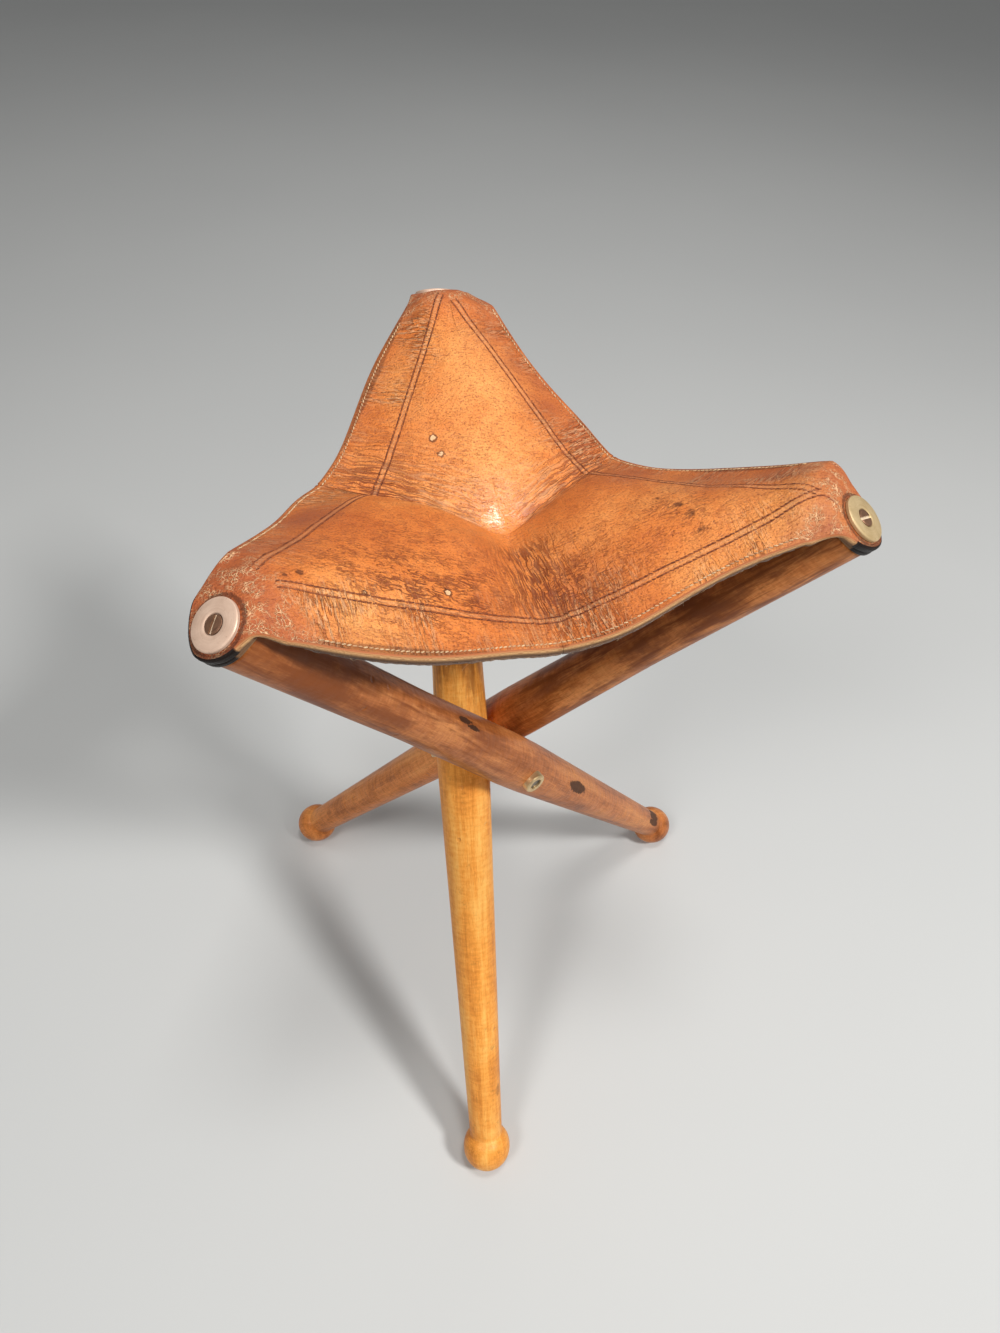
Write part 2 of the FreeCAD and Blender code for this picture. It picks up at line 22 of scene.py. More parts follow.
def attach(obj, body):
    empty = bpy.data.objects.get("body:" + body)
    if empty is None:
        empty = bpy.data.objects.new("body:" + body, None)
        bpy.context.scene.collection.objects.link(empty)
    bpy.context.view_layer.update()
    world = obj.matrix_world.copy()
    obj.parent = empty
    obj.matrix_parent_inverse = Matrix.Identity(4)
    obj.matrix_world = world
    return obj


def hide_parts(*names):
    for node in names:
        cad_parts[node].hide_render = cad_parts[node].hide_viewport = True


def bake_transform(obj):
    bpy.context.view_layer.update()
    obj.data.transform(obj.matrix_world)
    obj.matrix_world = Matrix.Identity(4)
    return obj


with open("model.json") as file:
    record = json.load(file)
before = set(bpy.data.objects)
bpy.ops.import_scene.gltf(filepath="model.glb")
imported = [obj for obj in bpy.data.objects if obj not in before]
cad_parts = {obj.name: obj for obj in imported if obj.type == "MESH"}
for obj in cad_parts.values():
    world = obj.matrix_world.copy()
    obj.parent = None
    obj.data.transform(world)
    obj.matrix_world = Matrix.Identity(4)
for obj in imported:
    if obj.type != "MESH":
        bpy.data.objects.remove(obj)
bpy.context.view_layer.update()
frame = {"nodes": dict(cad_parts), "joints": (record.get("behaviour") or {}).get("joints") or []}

LOG = logging.getLogger("stool")
MM = 0.001
UP = np.array([0.0, 0.0, 1.0])
SEED = 4127
VALLEY_ANGLE = math.radians(60.0)
Array = np.ndarray
Colour = tuple[float, float, float, float]


def tone(red: int, green: int, blue: int) -> Colour:
    """A colour as it looks on screen, 0 to 255 a channel, as the linear value that a shader takes.

    Args:
        red, green, blue: The screen values.

    Returns:
        The linear colour with full alpha.
    """
    def linear(value: int) -> float:
        """One channel, from screen to linear."""
        share = value / 255
        return share / 12.92 if share <= 0.04045 else ((share + 0.055) / 1.055) ** 2.4

    return linear(red), linear(green), linear(blue), 1.0


def ease(share: Array) -> Array:
    """A smooth step from 0 to 1 as the share goes from 0 to 1."""
    held = np.clip(share, 0.0, 1.0)
    return held * held * (3.0 - 2.0 * held)


def unit(vectors: Array) -> Array:
    """Vectors along the last axis, scaled to length 1, or left at 0."""
    size = np.linalg.norm(vectors, axis=-1, keepdims=True)
    return vectors / np.maximum(size, 1e-9)


def lattice_noise(u: Array, v: Array, seed: int) -> Array:
    """Smooth noise over a plane, about -0.7 to 0.7, one feature to a unit.

    Args:
        u, v: Coordinates, of one shape.
        seed: Picks the pattern.

    Returns:
        The noise at each point.
    """
    cell_u, cell_v = np.floor(u).astype(np.int64), np.floor(v).astype(np.int64)
    part_u, part_v = u - cell_u, v - cell_v

    def pull(du: int, dv: int) -> Array:
        """What one corner of the cell adds."""
        mixed = ((cell_u + du) * 374761393 + (cell_v + dv) * 668265263 + seed * 144665) & 0xFFFFFFFF
        mixed = ((mixed ^ (mixed >> 13)) * 1274126177) & 0xFFFFFFFF
        angle = ((mixed ^ (mixed >> 16)) & 0xFFFF) / 65536 * 2 * math.pi
        return np.cos(angle) * (part_u - du) + np.sin(angle) * (part_v - dv)

    fade_u = part_u ** 3 * (part_u * (part_u * 6 - 15) + 10)
    fade_v = part_v ** 3 * (part_v * (part_v * 6 - 15) + 10)
    near = pull(0, 0) * (1 - fade_u) + pull(1, 0) * fade_u
    far = pull(0, 1) * (1 - fade_u) + pull(1, 1) * fade_u
    return near * (1 - fade_v) + far * fade_v


def framed(*axes: Array) -> Matrix:
    """A matrix from its X, Y and Z directions and its origin."""
    made = Matrix.Identity(4)
    for column, axis in enumerate(axes):
        for row in range(3):
            made[row][column] = float(axis[row])
    return made


def turned(profile: Sequence[tuple[float, float]], turns: int) -> Array:
    """Points of a shape turned about Z, ring by ring.

    Args:
        profile: The radius and the height of each ring.
        turns: How many points a ring has.

    Returns:
        The points, one row each.
    """
    angles = np.linspace(0, 2 * math.pi, turns + 1)[:-1]
    ring = np.stack([np.cos(angles), np.sin(angles)], -1)
    rings = [np.column_stack([ring * radius, np.full(turns, high)]) for radius, high in profile]
    return np.concatenate(rings)


def spaced(line: Array, pitch: float, *values: Array) -> list[Array]:
    """Values at evenly spaced places along a line.

    Args:
        line: Points of the line.
        pitch: Distance from one place to the next.
        values: Numbers at the points of the line.

    Returns:
        The same numbers at the places, the first of them half a pitch along.
    """
    lengths = np.concatenate([[0], np.cumsum(np.linalg.norm(np.diff(line, axis=0), axis=1))])
    places = np.arange(pitch / 2, lengths[-1], pitch)
    return [np.interp(places, lengths, value) for value in values]


def normals_of(place: Callable[[Array, Array], Array], u: Array, v: Array) -> Array:
    """Normals of a surface, from points a small step to either side."""
    step = 0.3
    ahead = place(u + step, v) - place(u - step, v)
    aside = place(u, v + step) - place(u, v - step)
    return unit(np.cross(ahead, aside))


class Edge(Enum):
    """The three free edges of the seat, by where they lie in the photograph."""

    FRONT = "front"
    RIGHT = "right"
    LEFT = "left"


class Slot(Enum):
    """Material slots of the record."""

    WOOD = "beech"
    HIDE = "saddle_leather"
    LINING = "lining_leather"
    SCREW = "screw_brass"
    DISC = "pale_brass"


class Field:
    """What a node gives, with arithmetic that adds the nodes for it."""

    def __init__(self, recipe: "Recipe", socket: bpy.types.NodeSocket) -> None:
        """Keeps a socket with the recipe that it belongs to."""
        self.recipe, self.socket = recipe, socket

    def __add__(self, other: object) -> "Field":
        """The sum of two numbers."""
        return self.recipe.math("ADD", self, other)

    def __sub__(self, other: object) -> "Field":
        """This number less another."""
        return self.recipe.math("SUBTRACT", self, other)

    def __rsub__(self, other: object) -> "Field":
        """Another number less this one."""
        return self.recipe.math("SUBTRACT", other, self)

    def __mul__(self, other: object) -> "Field":
        """The product of two numbers."""
        return self.recipe.math("MULTIPLY", self, other)

    def __truediv__(self, other: object) -> "Field":
        """This number over another."""
        return self.recipe.math("DIVIDE", self, other)

    def __or__(self, other: object) -> "Field":
        """The larger of two numbers."""
        return self.recipe.math("MAXIMUM", self, other)

    def __abs__(self) -> "Field":
        """The number without its sign."""
        return self.recipe.math("ABSOLUTE", self)

    def fade(self, low: float, high: float) -> "Field":
        """Goes smoothly from 0 at low to 1 at high; low may be the larger."""
        ends = (0.0, 1.0) if low < high else (1.0, 0.0)
        return self.recipe.mapped(self, (min(low, high), max(low, high)), ends, "SMOOTHSTEP")

    def spread(self, least: float, most: float) -> "Field":
        """Maps 0 to 1 onto a range."""
        return self.recipe.mapped(self, (0.0, 1.0), (least, most), "LINEAR")


class Recipe:
    """A node material in the making, with short calls for the nodes that the finishes share."""

    def __init__(self, name: str) -> None:
        """Starts a material with one shader, joined to its output."""
        self.material = bpy.data.materials.new(name)
        self.material.use_nodes = True
        self.tree = self.material.node_tree
        self.tree.nodes.clear()
        self.shader = self.tree.nodes.new("ShaderNodeBsdfPrincipled")
        output = self.tree.nodes.new("ShaderNodeOutputMaterial")
        self.tree.links.new(self.shader.outputs["BSDF"], output.inputs["Surface"])

    def feed(self, socket: bpy.types.NodeSocket, value: object) -> None:
        """Links a field to a socket, or sets a constant on it."""
        if isinstance(value, Field):
            self.tree.links.new(value.socket, socket)
        else:
            socket.default_value = value

    def add(self, kind: str, output: str | int, inputs: dict, **settings: object) -> Field:
        """Adds a node.

        Args:
            kind: The node's type.
            output: The output that is used, by name or number.
            inputs: What goes into its sockets, by name or number.
            settings: The node's own properties.

        Returns:
            What the node gives.
        """
        made = self.tree.nodes.new(kind)
        for name, value in settings.items():
            setattr(made, name, value)
        for name, value in inputs.items():
            self.feed(made.inputs[name], value)
        return Field(self, made.outputs[output])

    def surface(self, **values: object) -> None:
        """Feeds the shader's sockets, named with underscores for spaces."""
        for name, value in values.items():
            self.feed(self.shader.inputs[name.replace("_", " ")], value)

    def math(self, operation: str, first: object, second: object = 0.0) -> Field:
        """One step of arithmetic, such as ADD or MULTIPLY."""
        return self.add("ShaderNodeMath", 0, {0: first, 1: second}, operation=operation)

    def mapped(self, value: Field, source: Sequence[float], target: Sequence[float], kind: str) -> Field:
        """Maps one range onto another, held at its ends."""
        inputs = {"Value": value, "From Min": source[0], "From Max": source[1], "To Min": target[0],
                  "To Max": target[1]}
        return self.add("ShaderNodeMapRange", "Result", inputs, interpolation_type=kind)

    def stored(self, name: str) -> Field:
        """A vector that the mesh stores at each vertex."""
        return self.add("ShaderNodeAttribute", "Vector", {}, attribute_name=name)

    def parts(self, vector: Field) -> tuple[Field, ...]:
        """The three numbers of a vector."""
        split = self.add("ShaderNodeSeparateXYZ", 0, {0: vector}).socket.node
        return tuple(Field(self, output) for output in split.outputs)

    def joined(self, x: object, y: object = 0.0) -> Field:
        """A vector of two numbers."""
        return self.add("ShaderNodeCombineXYZ", 0, {0: x, 1: y})

    def vector_math(self, operation: str, output: str | int, *inputs: object) -> Field:
        """One step of arithmetic with vectors."""
        return self.add("ShaderNodeVectorMath", output, dict(enumerate(inputs)), operation=operation)

    def stretch(self, vector: Field, factors: Sequence[float]) -> Field:
        """A vector with each coordinate times a factor."""
        return self.vector_math("MULTIPLY", 0, vector, tuple(factors))

    def noise(self, where: Field, scale: float, detail: float = 2.0, rough: float = 0.5,
              distortion: float = 0.0, output: str = "Fac") -> Field:
        """Noise from 0 to 1, scale features to a unit of the vector."""
        inputs = {"Vector": where, "Scale": scale, "Detail": detail, "Roughness": rough,
                  "Distortion": distortion}
        return self.add("ShaderNodeTexNoise", output, inputs)

    def drawn(self, where: Field, factors: Sequence[float], *settings: float) -> Field:
        """Noise drawn out along the axes with the smaller factors."""
        return self.noise(self.stretch(where, factors), 1.0, *settings)

    def cells(self, where: Field, scale: float, feature: str = "F1") -> Field:
        """Distance inside a pattern of cells."""
        inputs = {"Vector": where, "Scale": scale}
        return self.add("ShaderNodeTexVoronoi", "Distance", inputs, feature=feature)

    def ramp(self, value: Field, *stops: tuple[float, Colour]) -> Field:
        """Colours along a number from 0 to 1."""
        made = self.add("ShaderNodeValToRGB", "Color", {0: value})
        scale = made.socket.node.color_ramp.elements
        while len(scale) < len(stops):
            scale.new(1.0)
        for element, (place, colour) in zip(scale, stops):
            element.position = place
            element.color = colour
        return made

    def layered(self, colour: object, *coats: tuple[Field, Colour]) -> Field:
        """A colour under coats of others, each laid on by its share."""
        for share, coat in coats:
            colour = self.add("ShaderNodeMix", 2, {"Factor": share, 6: colour, 7: coat}, data_type="RGBA")
        return colour

    def warped(self, where: Field, scale: float, amount: float) -> Field:
        """A vector shifted by noise, up to half the amount each way."""
        drift = self.noise(where, scale, 3.0, output="Color")
        return self.vector_math("ADD", 0, where, self.stretch(drift, (amount, amount, amount)))

    def threads(self, where: Field, factors: Sequence[float], width: float) -> Field:
        """Thin wandering lines, 1 on a line, that run along the axis with the smallest factor."""
        return abs(self.drawn(where, factors) - 0.5).fade(width, 0.2 * width)

    def bumps(self, *layers: tuple) -> Field:
        """Tilts the normal by one height after another.

        Args:
            layers: Each a height of 0 to 1, the depth in millimetres that it stands for, and its
                strength where that is not 1.

        Returns:
            The tilted normal.
        """
        inputs = {}
        for height, depth, *strength in layers:
            inputs |= {"Strength": strength[0] if strength else 1.0, "Distance": depth * MM, "Height": height}
            inputs["Normal"] = self.add("ShaderNodeBump", "Normal", inputs)
        return inputs["Normal"]


@dataclass(frozen=True)
class SaddleGrain:
    """The seat's upper side: saddle leather, waxed and worn to orange tan, redder along the edges."""

    deep_tan: Colour = tone(190, 96, 38)
    tan: Colour = tone(220, 126, 56)
    pale_tan: Colour = tone(242, 164, 90)
    red_brown: Colour = tone(154, 74, 42)
    line_brown: Colour = tone(120, 54, 26)
    dark_brown: Colour = tone(66, 30, 16)
    # Pale dust, also used as painted highlight along the valley folds
    dust_and_highlight: Colour = tone(240, 194, 146)
    corner_red: Colour = tone(152, 76, 50)
    seam_reach: float = 0.6
    row_gap: float = 3.0

    def material(self) -> bpy.types.Material:
        """Makes the material.

        Returns:
            The finished material.
        """
        r = Recipe("saddle_grain")
        flat, edge_run, valley_run = (r.stored(name) for name in ("flat", "edge_run", "valley_run"))
        _, inset, seam = r.parts(edge_run)
        _, _, creased = r.parts(valley_run)
        corner, stain, scuff = r.parts(r.stored("wear"))
        pale, red, worn = r.parts(r.stored("shade"))
        _, aside, _ = r.parts(r.stored("layer"))

        # Skin: paler where it is rubbed and where light is painted on the back lobe and in the dimple, redder
        # where it is not rubbed, and pitted
        broad = r.noise(flat, 0.02, 3.0, 0.55, 0.4)
        mottle = r.noise(flat, 0.13, 4.0, 0.62, 0.5)
        fine = r.noise(flat, 1.1, 3.0, 0.65)
        share = broad * 0.5 + mottle * 0.24 + fine * 0.12 + pale * 0.22
        skin = r.ramp(share, (0.3, self.deep_tan), (0.46, self.tan), (0.72, self.pale_tan))
        reddened = (red | inset.fade(12.0, 0.0) * 0.4) * mottle.spread(0.3, 1.0)
        pebbled = r.drawn(r.warped(flat, 0.2, 3.0), (0.45, 0.9, 1.0), 3.0, 0.7)
        pits = pebbled.fade(0.47, 0.33) * mottle.spread(0.4, 1.1)
        speck = r.cells(flat, 0.34).fade(0.13, 0.05) * mottle.fade(0.45, 0.6)

        # Short wrinkles that run from side to side, in patches
        bent = r.warped(flat, 0.07, 6.0)
        dash = r.threads(bent, (0.18, 0.66, 1.0), 0.075) * r.noise(flat, 0.15, 3.0).fade(0.42, 0.54)
        deep = r.threads(bent, (0.09, 0.36, 1.0), 0.06) * worn.fade(0.3, 0.85)
        wrinkle = dash * worn.spread(0.2, 1.0) | deep * r.noise(flat, 0.1, 3.0).fade(0.42, 0.6)

        # Tension lines: across the edges, and out of the middle along the valleys, where the pale lines are
        # partly dust in the folds and partly painted highlight on their ridges
        beside = inset.fade(38.0, 14.0) * (aside * corner.fade(0.6, 0.1))
        beside = beside * r.drawn(edge_run, (0.035, 0.02, 0.0)).fade(0.38, 0.6)
        pull_dark = r.threads(r.warped(edge_run, 0.15, 2.0), (0.48, 0.06, 0.0), 0.05) * beside
        pull_pale = r.threads(edge_run, (0.5, 0.07, 0.0), 0.05) * beside
        gathers = r.warped(valley_run, 0.09, 4.0)
        fold_dark = r.threads(gathers, (0.5, 0.05, 0.0), 0.075) * (creased * pale.spread(1.0, 0.25))
        fold_dust_and_highlight = r.threads(gathers, (0.44, 0.03, 0.0), 0.06) * creased * pale.spread(0.08, 1.0)

        # The two inner rows of stitching lie in broken grooves, with a paler strip between them
        rows = (abs(seam), abs(seam - self.row_gap))
        grooves = rows[0].fade(self.seam_reach, 0.15) | rows[1].fade(self.seam_reach, 0.15)
        grooves = grooves * r.noise(flat, 0.07).spread(0.5, 1.4)
        grooves = grooves * r.drawn(edge_run, (0.3, 0.0, 0.0), 1.0).fade(0.32, 0.56)
        strip = abs(seam - 0.5 * self.row_gap).fade(1.0, 0.3)

        # Pale cracks at the corners, dark stains, and chips with a dark rim of painted shadow
        crazed = r.warped(flat, 0.3, 3.0)
        crack = (r.cells(crazed, 0.27, "DISTANCE_TO_EDGE").fade(0.045, 0.01)
                 | r.cells(crazed, 0.6, "DISTANCE_TO_EDGE").fade(0.07, 0.02))
        crack = crack * r.noise(flat, 0.16, 3.0).fade(0.42, 0.6) * corner
        blot = (stain + r.noise(flat, 0.5, 3.0, 0.7).spread(-0.35, 0.35)).fade(0.4, 0.62)
        speck_and_shadow = scuff + r.noise(flat, 0.9, 2.0, 0.6).spread(-0.3, 0.3)
        flake = speck_and_shadow.fade(0.55, 0.68)

        # Smooth and polished in the dimple
        polish = r.vector_math("LENGTH", "Value", flat).fade(40.0, 8.0) * pale.spread(0.1, 1.0)
        gloss = mottle.spread(0.44, 0.56) - polish * 0.36 + (crack | flake) * 0.2
        rough = polish.spread(1.0, 0.12)

        colour = r.layered(
            skin, (reddened * 0.95, self.red_brown), (pits * 0.7, self.red_brown),
            (fine.fade(0.48, 0.34) * 0.6, self.line_brown), (wrinkle * 0.85, self.line_brown),
            (pull_dark * 0.55, self.line_brown), (pull_pale * 0.4, self.dust_and_highlight),
            (fold_dark * 0.9, self.line_brown), (fold_dust_and_highlight * 0.5, self.dust_and_highlight), (speck * 0.8, self.dark_brown),
            (strip * 0.14, self.dust_and_highlight), (grooves, self.line_brown),
            (inset.fade(1.7, 0.4) * 0.5, self.dark_brown),
            (corner * mottle.spread(0.3, 0.95), self.corner_red), (crack * 0.8, self.dust_and_highlight),
            # Painted shadow: the dark rim round each pale chip
            (blot * 0.75, self.dark_brown), (speck_and_shadow.fade(0.2, 0.4) * 0.7, self.dark_brown),
            (flake * 0.9, self.dust_and_highlight))
        normal = r.bumps((fine, 0.3, rough), (pebbled, 0.7, rough),
                         (1.0 - (wrinkle | (pull_dark | fold_dark)), 0.45), (pull_pale | fold_dust_and_highlight, 0.25),
                         (1.0 - grooves, 0.2), (crack - blot, 0.25))
        r.surface(Base_Color=colour, Roughness=gloss, Normal=normal,
                  Specular_IOR_Level=polish.spread(0.3, 0.85))
        return r.material


@dataclass(frozen=True)
class CutEdge:
    """The hide's rim: golden cut fibres along the seat, burnished black round the tongues, and painted shade
    on its lower half by the gap under it.
    """

    grain: Colour = tone(164, 92, 46)
    golden: Colour = tone(226, 178, 120)
    rubbed: Colour = tone(158, 98, 54)
    # Painted shade for the gap under the hide's rim
    painted_gap_shade: Colour = tone(70, 40, 24)
    burnished: Colour = tone(26, 16, 12)

    def material(self) -> bpy.types.Material:
        """Makes the material.

        Returns:
            The finished material.
        """
        r = Recipe("cut_edge")
        flat = r.stored("flat")
        depth, _, tongue = r.parts(r.stored("layer"))
        fibres = r.noise(flat, 0.5, 4.0, 0.7)
        plies = r.noise(r.joined(fibres * 2.0, depth * 9.0), 1.0, 3.0, 0.7)
        dark = (tongue + fibres.spread(-0.3, 0.3)).fade(0.5, 0.75)
        # Lower down, the rim is darkened with painted shade for the gap between the hide and the layer under
        # it
        colour = r.layered(r.ramp(plies, (0.36, self.rubbed), (0.6, self.golden)),
                           (depth.fade(0.18, 0.03), self.grain), (depth.fade(0.4, 0.7) * 0.72, self.painted_gap_shade),
                           (dark, self.burnished))
        normal = r.bumps((plies, 0.3), (r.noise(flat, 1.6), 0.2))
        r.surface(Base_Color=colour, Roughness=dark.spread(0.72, 0.42), Normal=normal,
                  Specular_IOR_Level=dark.spread(0.5, 0.2))
        return r.material


@dataclass(frozen=True)
class FleshSide:
    """The rough underside of a hide: napped, brownish and uneven."""

    name: str
    shadow: Colour
    nap: Colour
    high: Colour

    def material(self) -> bpy.types.Material:
        """Makes the material.

        Returns:
            The finished material.
        """
        r = Recipe(self.name)
        flat = r.stored("flat")
        nap = r.noise(flat, 0.9, 5.0, 0.7, 0.5)
        share = nap * 0.6 + r.noise(flat, 0.05, 3.0, 0.6) * 0.4
        colour = r.ramp(share, (0.36, self.shadow), (0.5, self.nap), (0.66, self.high))
        r.surface(Base_Color=colour, Roughness=nap.spread(0.8, 0.95), Normal=r.bumps((nap, 0.5)),
                  Sheen_Weight=0.25, Sheen_Roughness=0.6)
        return r.material


@dataclass(frozen=True)
class WaxedThread:
    """Twisted linen thread, waxed and dirty."""

    name: str
    light: Colour
    dark: Colour

    def material(self) -> bpy.types.Material:
        """Makes the material.

        Returns:
            The finished material.
        """
        r = Recipe(self.name)
        twist = r.stored("twist")
        _, _, each = r.parts(twist)
        ply = r.add("ShaderNodeTexWave", "Fac", {"Vector": twist, "Scale": 0.9, "Distortion": 1.5},
                    wave_type="BANDS", bands_direction="DIAGONAL")
        dirt = r.noise(r.stored("flat"), 0.25, 3.0, 0.6)
        colour = r.ramp(ply * 0.35 + each * 0.35 + dirt * 0.45, (0.35, self.dark), (0.75, self.light))
        r.surface(Base_Color=colour, Roughness=dirt.spread(0.5, 0.75), Normal=r.bumps((ply, 0.12)))
        return r.material


@dataclass(frozen=True)
class VarnishedBeech:
    """Turned beech under an old amber varnish, with short flecks and a darker upper end, partly handling
    grime and partly painted shade under the seat.
    """

    name: str
    shade: Colour
    honey: Colour
    pale: Colour
    # Dark of the upper end: partly grime, partly painted shade under the seat
    soot_and_shade: Colour
    stains: tuple[tuple[tuple[float, float, float], float], ...] = ()
    spill: Colour = tone(44, 28, 20)
    drawn_out: float = 0.25

    def material(self) -> bpy.types.Material:
        """Makes the material.

        Returns:
            The finished material.
        """
        r = Recipe(self.name)
        grain = r.stored("grain")
        grimed_and_shaded, _, _ = r.parts(r.stored("grimed_and_shaded"))
        rings = r.drawn(grain, (0.16, 0.05, 0.006), 4.0, 0.6, 1.2)
        cloud = r.drawn(grain, (0.05, 0.05, 0.022), 3.0, 0.6, 0.3)
        fibre = r.drawn(grain, (1.6, 1.6, 0.05), 3.0, 0.6)
        ripple = r.drawn(grain, (0.14, 0.14, 0.55), 3.0, 0.6)
        streak = r.drawn(grain, (0.26, 0.26, 0.03), 5.0, 0.65, 0.6)
        flecks = r.drawn(grain, (1.7, 1.7, 0.3))
        share = rings * 0.45 + cloud * 0.4 + fibre * 0.2 + ripple * 0.25
        # Darker towards the upper end: partly handling grime, partly painted shade under the seat
        soot_and_shade_share = grimed_and_shaded * ((streak + cloud) * 0.5).fade(0.6, 0.4).spread(0.15, 0.95)
        grime = r.noise(grain, 0.09, 4.0, 0.7).fade(0.58, 0.78)
        colour = r.layered(r.ramp(share, (0.5, self.shade), (0.65, self.honey), (0.8, self.pale)),
                           (flecks.fade(0.56, 0.7) * 0.4, self.shade),
                           (flecks.fade(0.42, 0.3) * 0.35, self.pale),
                           (streak.fade(0.5, 0.34) * grimed_and_shaded.spread(0.2, 0.7), self.shade),
                           (soot_and_shade_share, self.soot_and_shade), (grime * 0.45, self.soot_and_shade))
        gloss = cloud.spread(0.3, 0.46)
        if self.stains:
            spilt = self.spilt(r, grain)
            colour = r.layered(colour, (spilt * 0.85, self.spill))
            gloss = gloss + spilt * 0.2
        dents = r.cells(grain, 0.06).fade(0.11, 0.03)
        normal = r.bumps((fibre, 0.08), (r.noise(grain, 0.11), 0.6), (1.0 - dents, 0.5))
        r.surface(Base_Color=colour, Roughness=gloss, Normal=normal, Specular_IOR_Level=0.18)
        return r.material

    def spilt(self, r: Recipe, grain: Field) -> Field:
        """Where the dark stains lie.

        Args:
            r: The material in the making.
            grain: The leg's own coordinates.

        Returns:
            1 on a stain and 0 elsewhere.
        """
        uneven = r.noise(grain, 0.28, 3.0, 0.65).spread(-0.6, 0.6)
        drawn = r.stretch(grain, (1.0, 1.0, self.drawn_out))
        marks = []
        for (x, y, z), reach in self.stains:
            off = r.vector_math("DISTANCE", "Value", drawn, (x, y, self.drawn_out * z))
            marks.append((off / reach + uneven).fade(1.05, 0.9))
        return reduce(or_, marks)


@dataclass(frozen=True)
class TurnedMetal:
    """A lathe-turned metal face: fine rings about its own axis, and tarnish."""

    name: str
    bright: Colour
    dull: Colour
    tarnish: Colour
    roughness: float = 0.34
    metallic: float = 1.0
    ring_pitch: float = 0.55

    def material(self, placed: Matrix) -> bpy.types.Material:
        """Makes the material for one piece.

        Args:
            placed: Where the piece's own axis stands, in metres.

        Returns:
            The finished material.
        """
        r = Recipe(self.name)
        inputs = {"Vector": r.add("ShaderNodeTexCoord", "Object", {}), "Location": placed.to_translation(),
                  "Rotation": placed.to_euler(), "Scale": (MM, MM, MM)}
        local = r.add("ShaderNodeMapping", "Vector", inputs, vector_type="TEXTURE")
        x, y, _ = r.parts(local)
        rings = r.noise(r.joined(r.math("SQRT", x * x + y * y)), 1.0 / self.ring_pitch, 3.0, 0.7)
        bloom = r.noise(local, 0.13, 4.0, 0.65, 0.6)
        spots = r.noise(local, 0.6, 4.0, 0.7).fade(0.58, 0.74)
        colour = r.layered(r.ramp(rings * 0.45 + bloom * 0.55, (0.36, self.dull), (0.62, self.bright)),
                           (spots * 0.6, self.tarnish))
        gloss = rings.spread(self.roughness - 0.08, self.roughness + 0.1) + spots * 0.2
        normal = r.bumps((rings, 0.05), (r.drawn(local, (0.25, 2.6, 1.0), 3.0, 0.7), 0.03))
        r.surface(Base_Color=colour, Roughness=gloss, Normal=normal, Metallic=self.metallic)
        return r.material


@dataclass(frozen=True)
class StudioFloor:
    """A plain pale floor with a faint unevenness."""

    pale: Colour = tone(205, 205, 202)
    deep: Colour = tone(196, 196, 194)

    def material(self) -> bpy.types.Material:
        """Makes the material."""
        r = Recipe("studio_floor")
        cloud = r.noise(r.add("ShaderNodeTexCoord", "Object", {}), 1.5, 3.0)
        r.surface(Base_Color=r.layered(self.deep, (cloud, self.pale)), Roughness=0.85, Specular_IOR_Level=0.2)
        return r.material


@dataclass(frozen=True)
class Stand:
    """Where one leg stands: its turning point on the bolt and its own directions."""

    letter: str
    pivot: Array
    arm: Array
    foot: Array
    up: Array
    inward: Array

    @classmethod
    def of(cls, letter: str, tilt: float) -> "Stand":
        """Reads a leg's place from its joint.

        Args:
            letter: The leg's letter.
            tilt: How far the leg leans, in radians.

        Returns:
            The leg's place, with Z up the leg, X out along its arm and Y across towards the middle.
        """
        joint = next(item for item in frame["joints"] if item["name"] == f"fold_{letter}")
        arm = -np.array(joint["axis"], float)
        foot = np.array([-arm[1], arm[0], 0.0])
        up = UP * math.cos(tilt) - foot * math.sin(tilt)
        inward = foot * math.cos(tilt) + UP * math.sin(tilt)
        return cls(letter, np.array(joint["pos_m"], float) / MM, arm, foot, up, inward)

    def matrix(self, height: float) -> Matrix:
        """A frame on the leg's axis, this far up from the bolt, in metres."""
        return framed(self.arm, self.inward, self.up, (self.pivot + self.up * height) * MM)


class Wear(Enum):
    """Kinds of marks on the seat: wear, and a paleness that is partly painted light."""

    STAIN = "stain"
    SCUFF = "scuff"
    PALE_RUBBED_AND_LIT = "pale"
    RED = "red"
    WRINKLED = "wrinkled"


@dataclass(frozen=True)
class Mark:
    """A marked place on the seat, in plan."""

    place: tuple[float, float]
    reach: float
    strength: float = 1.0


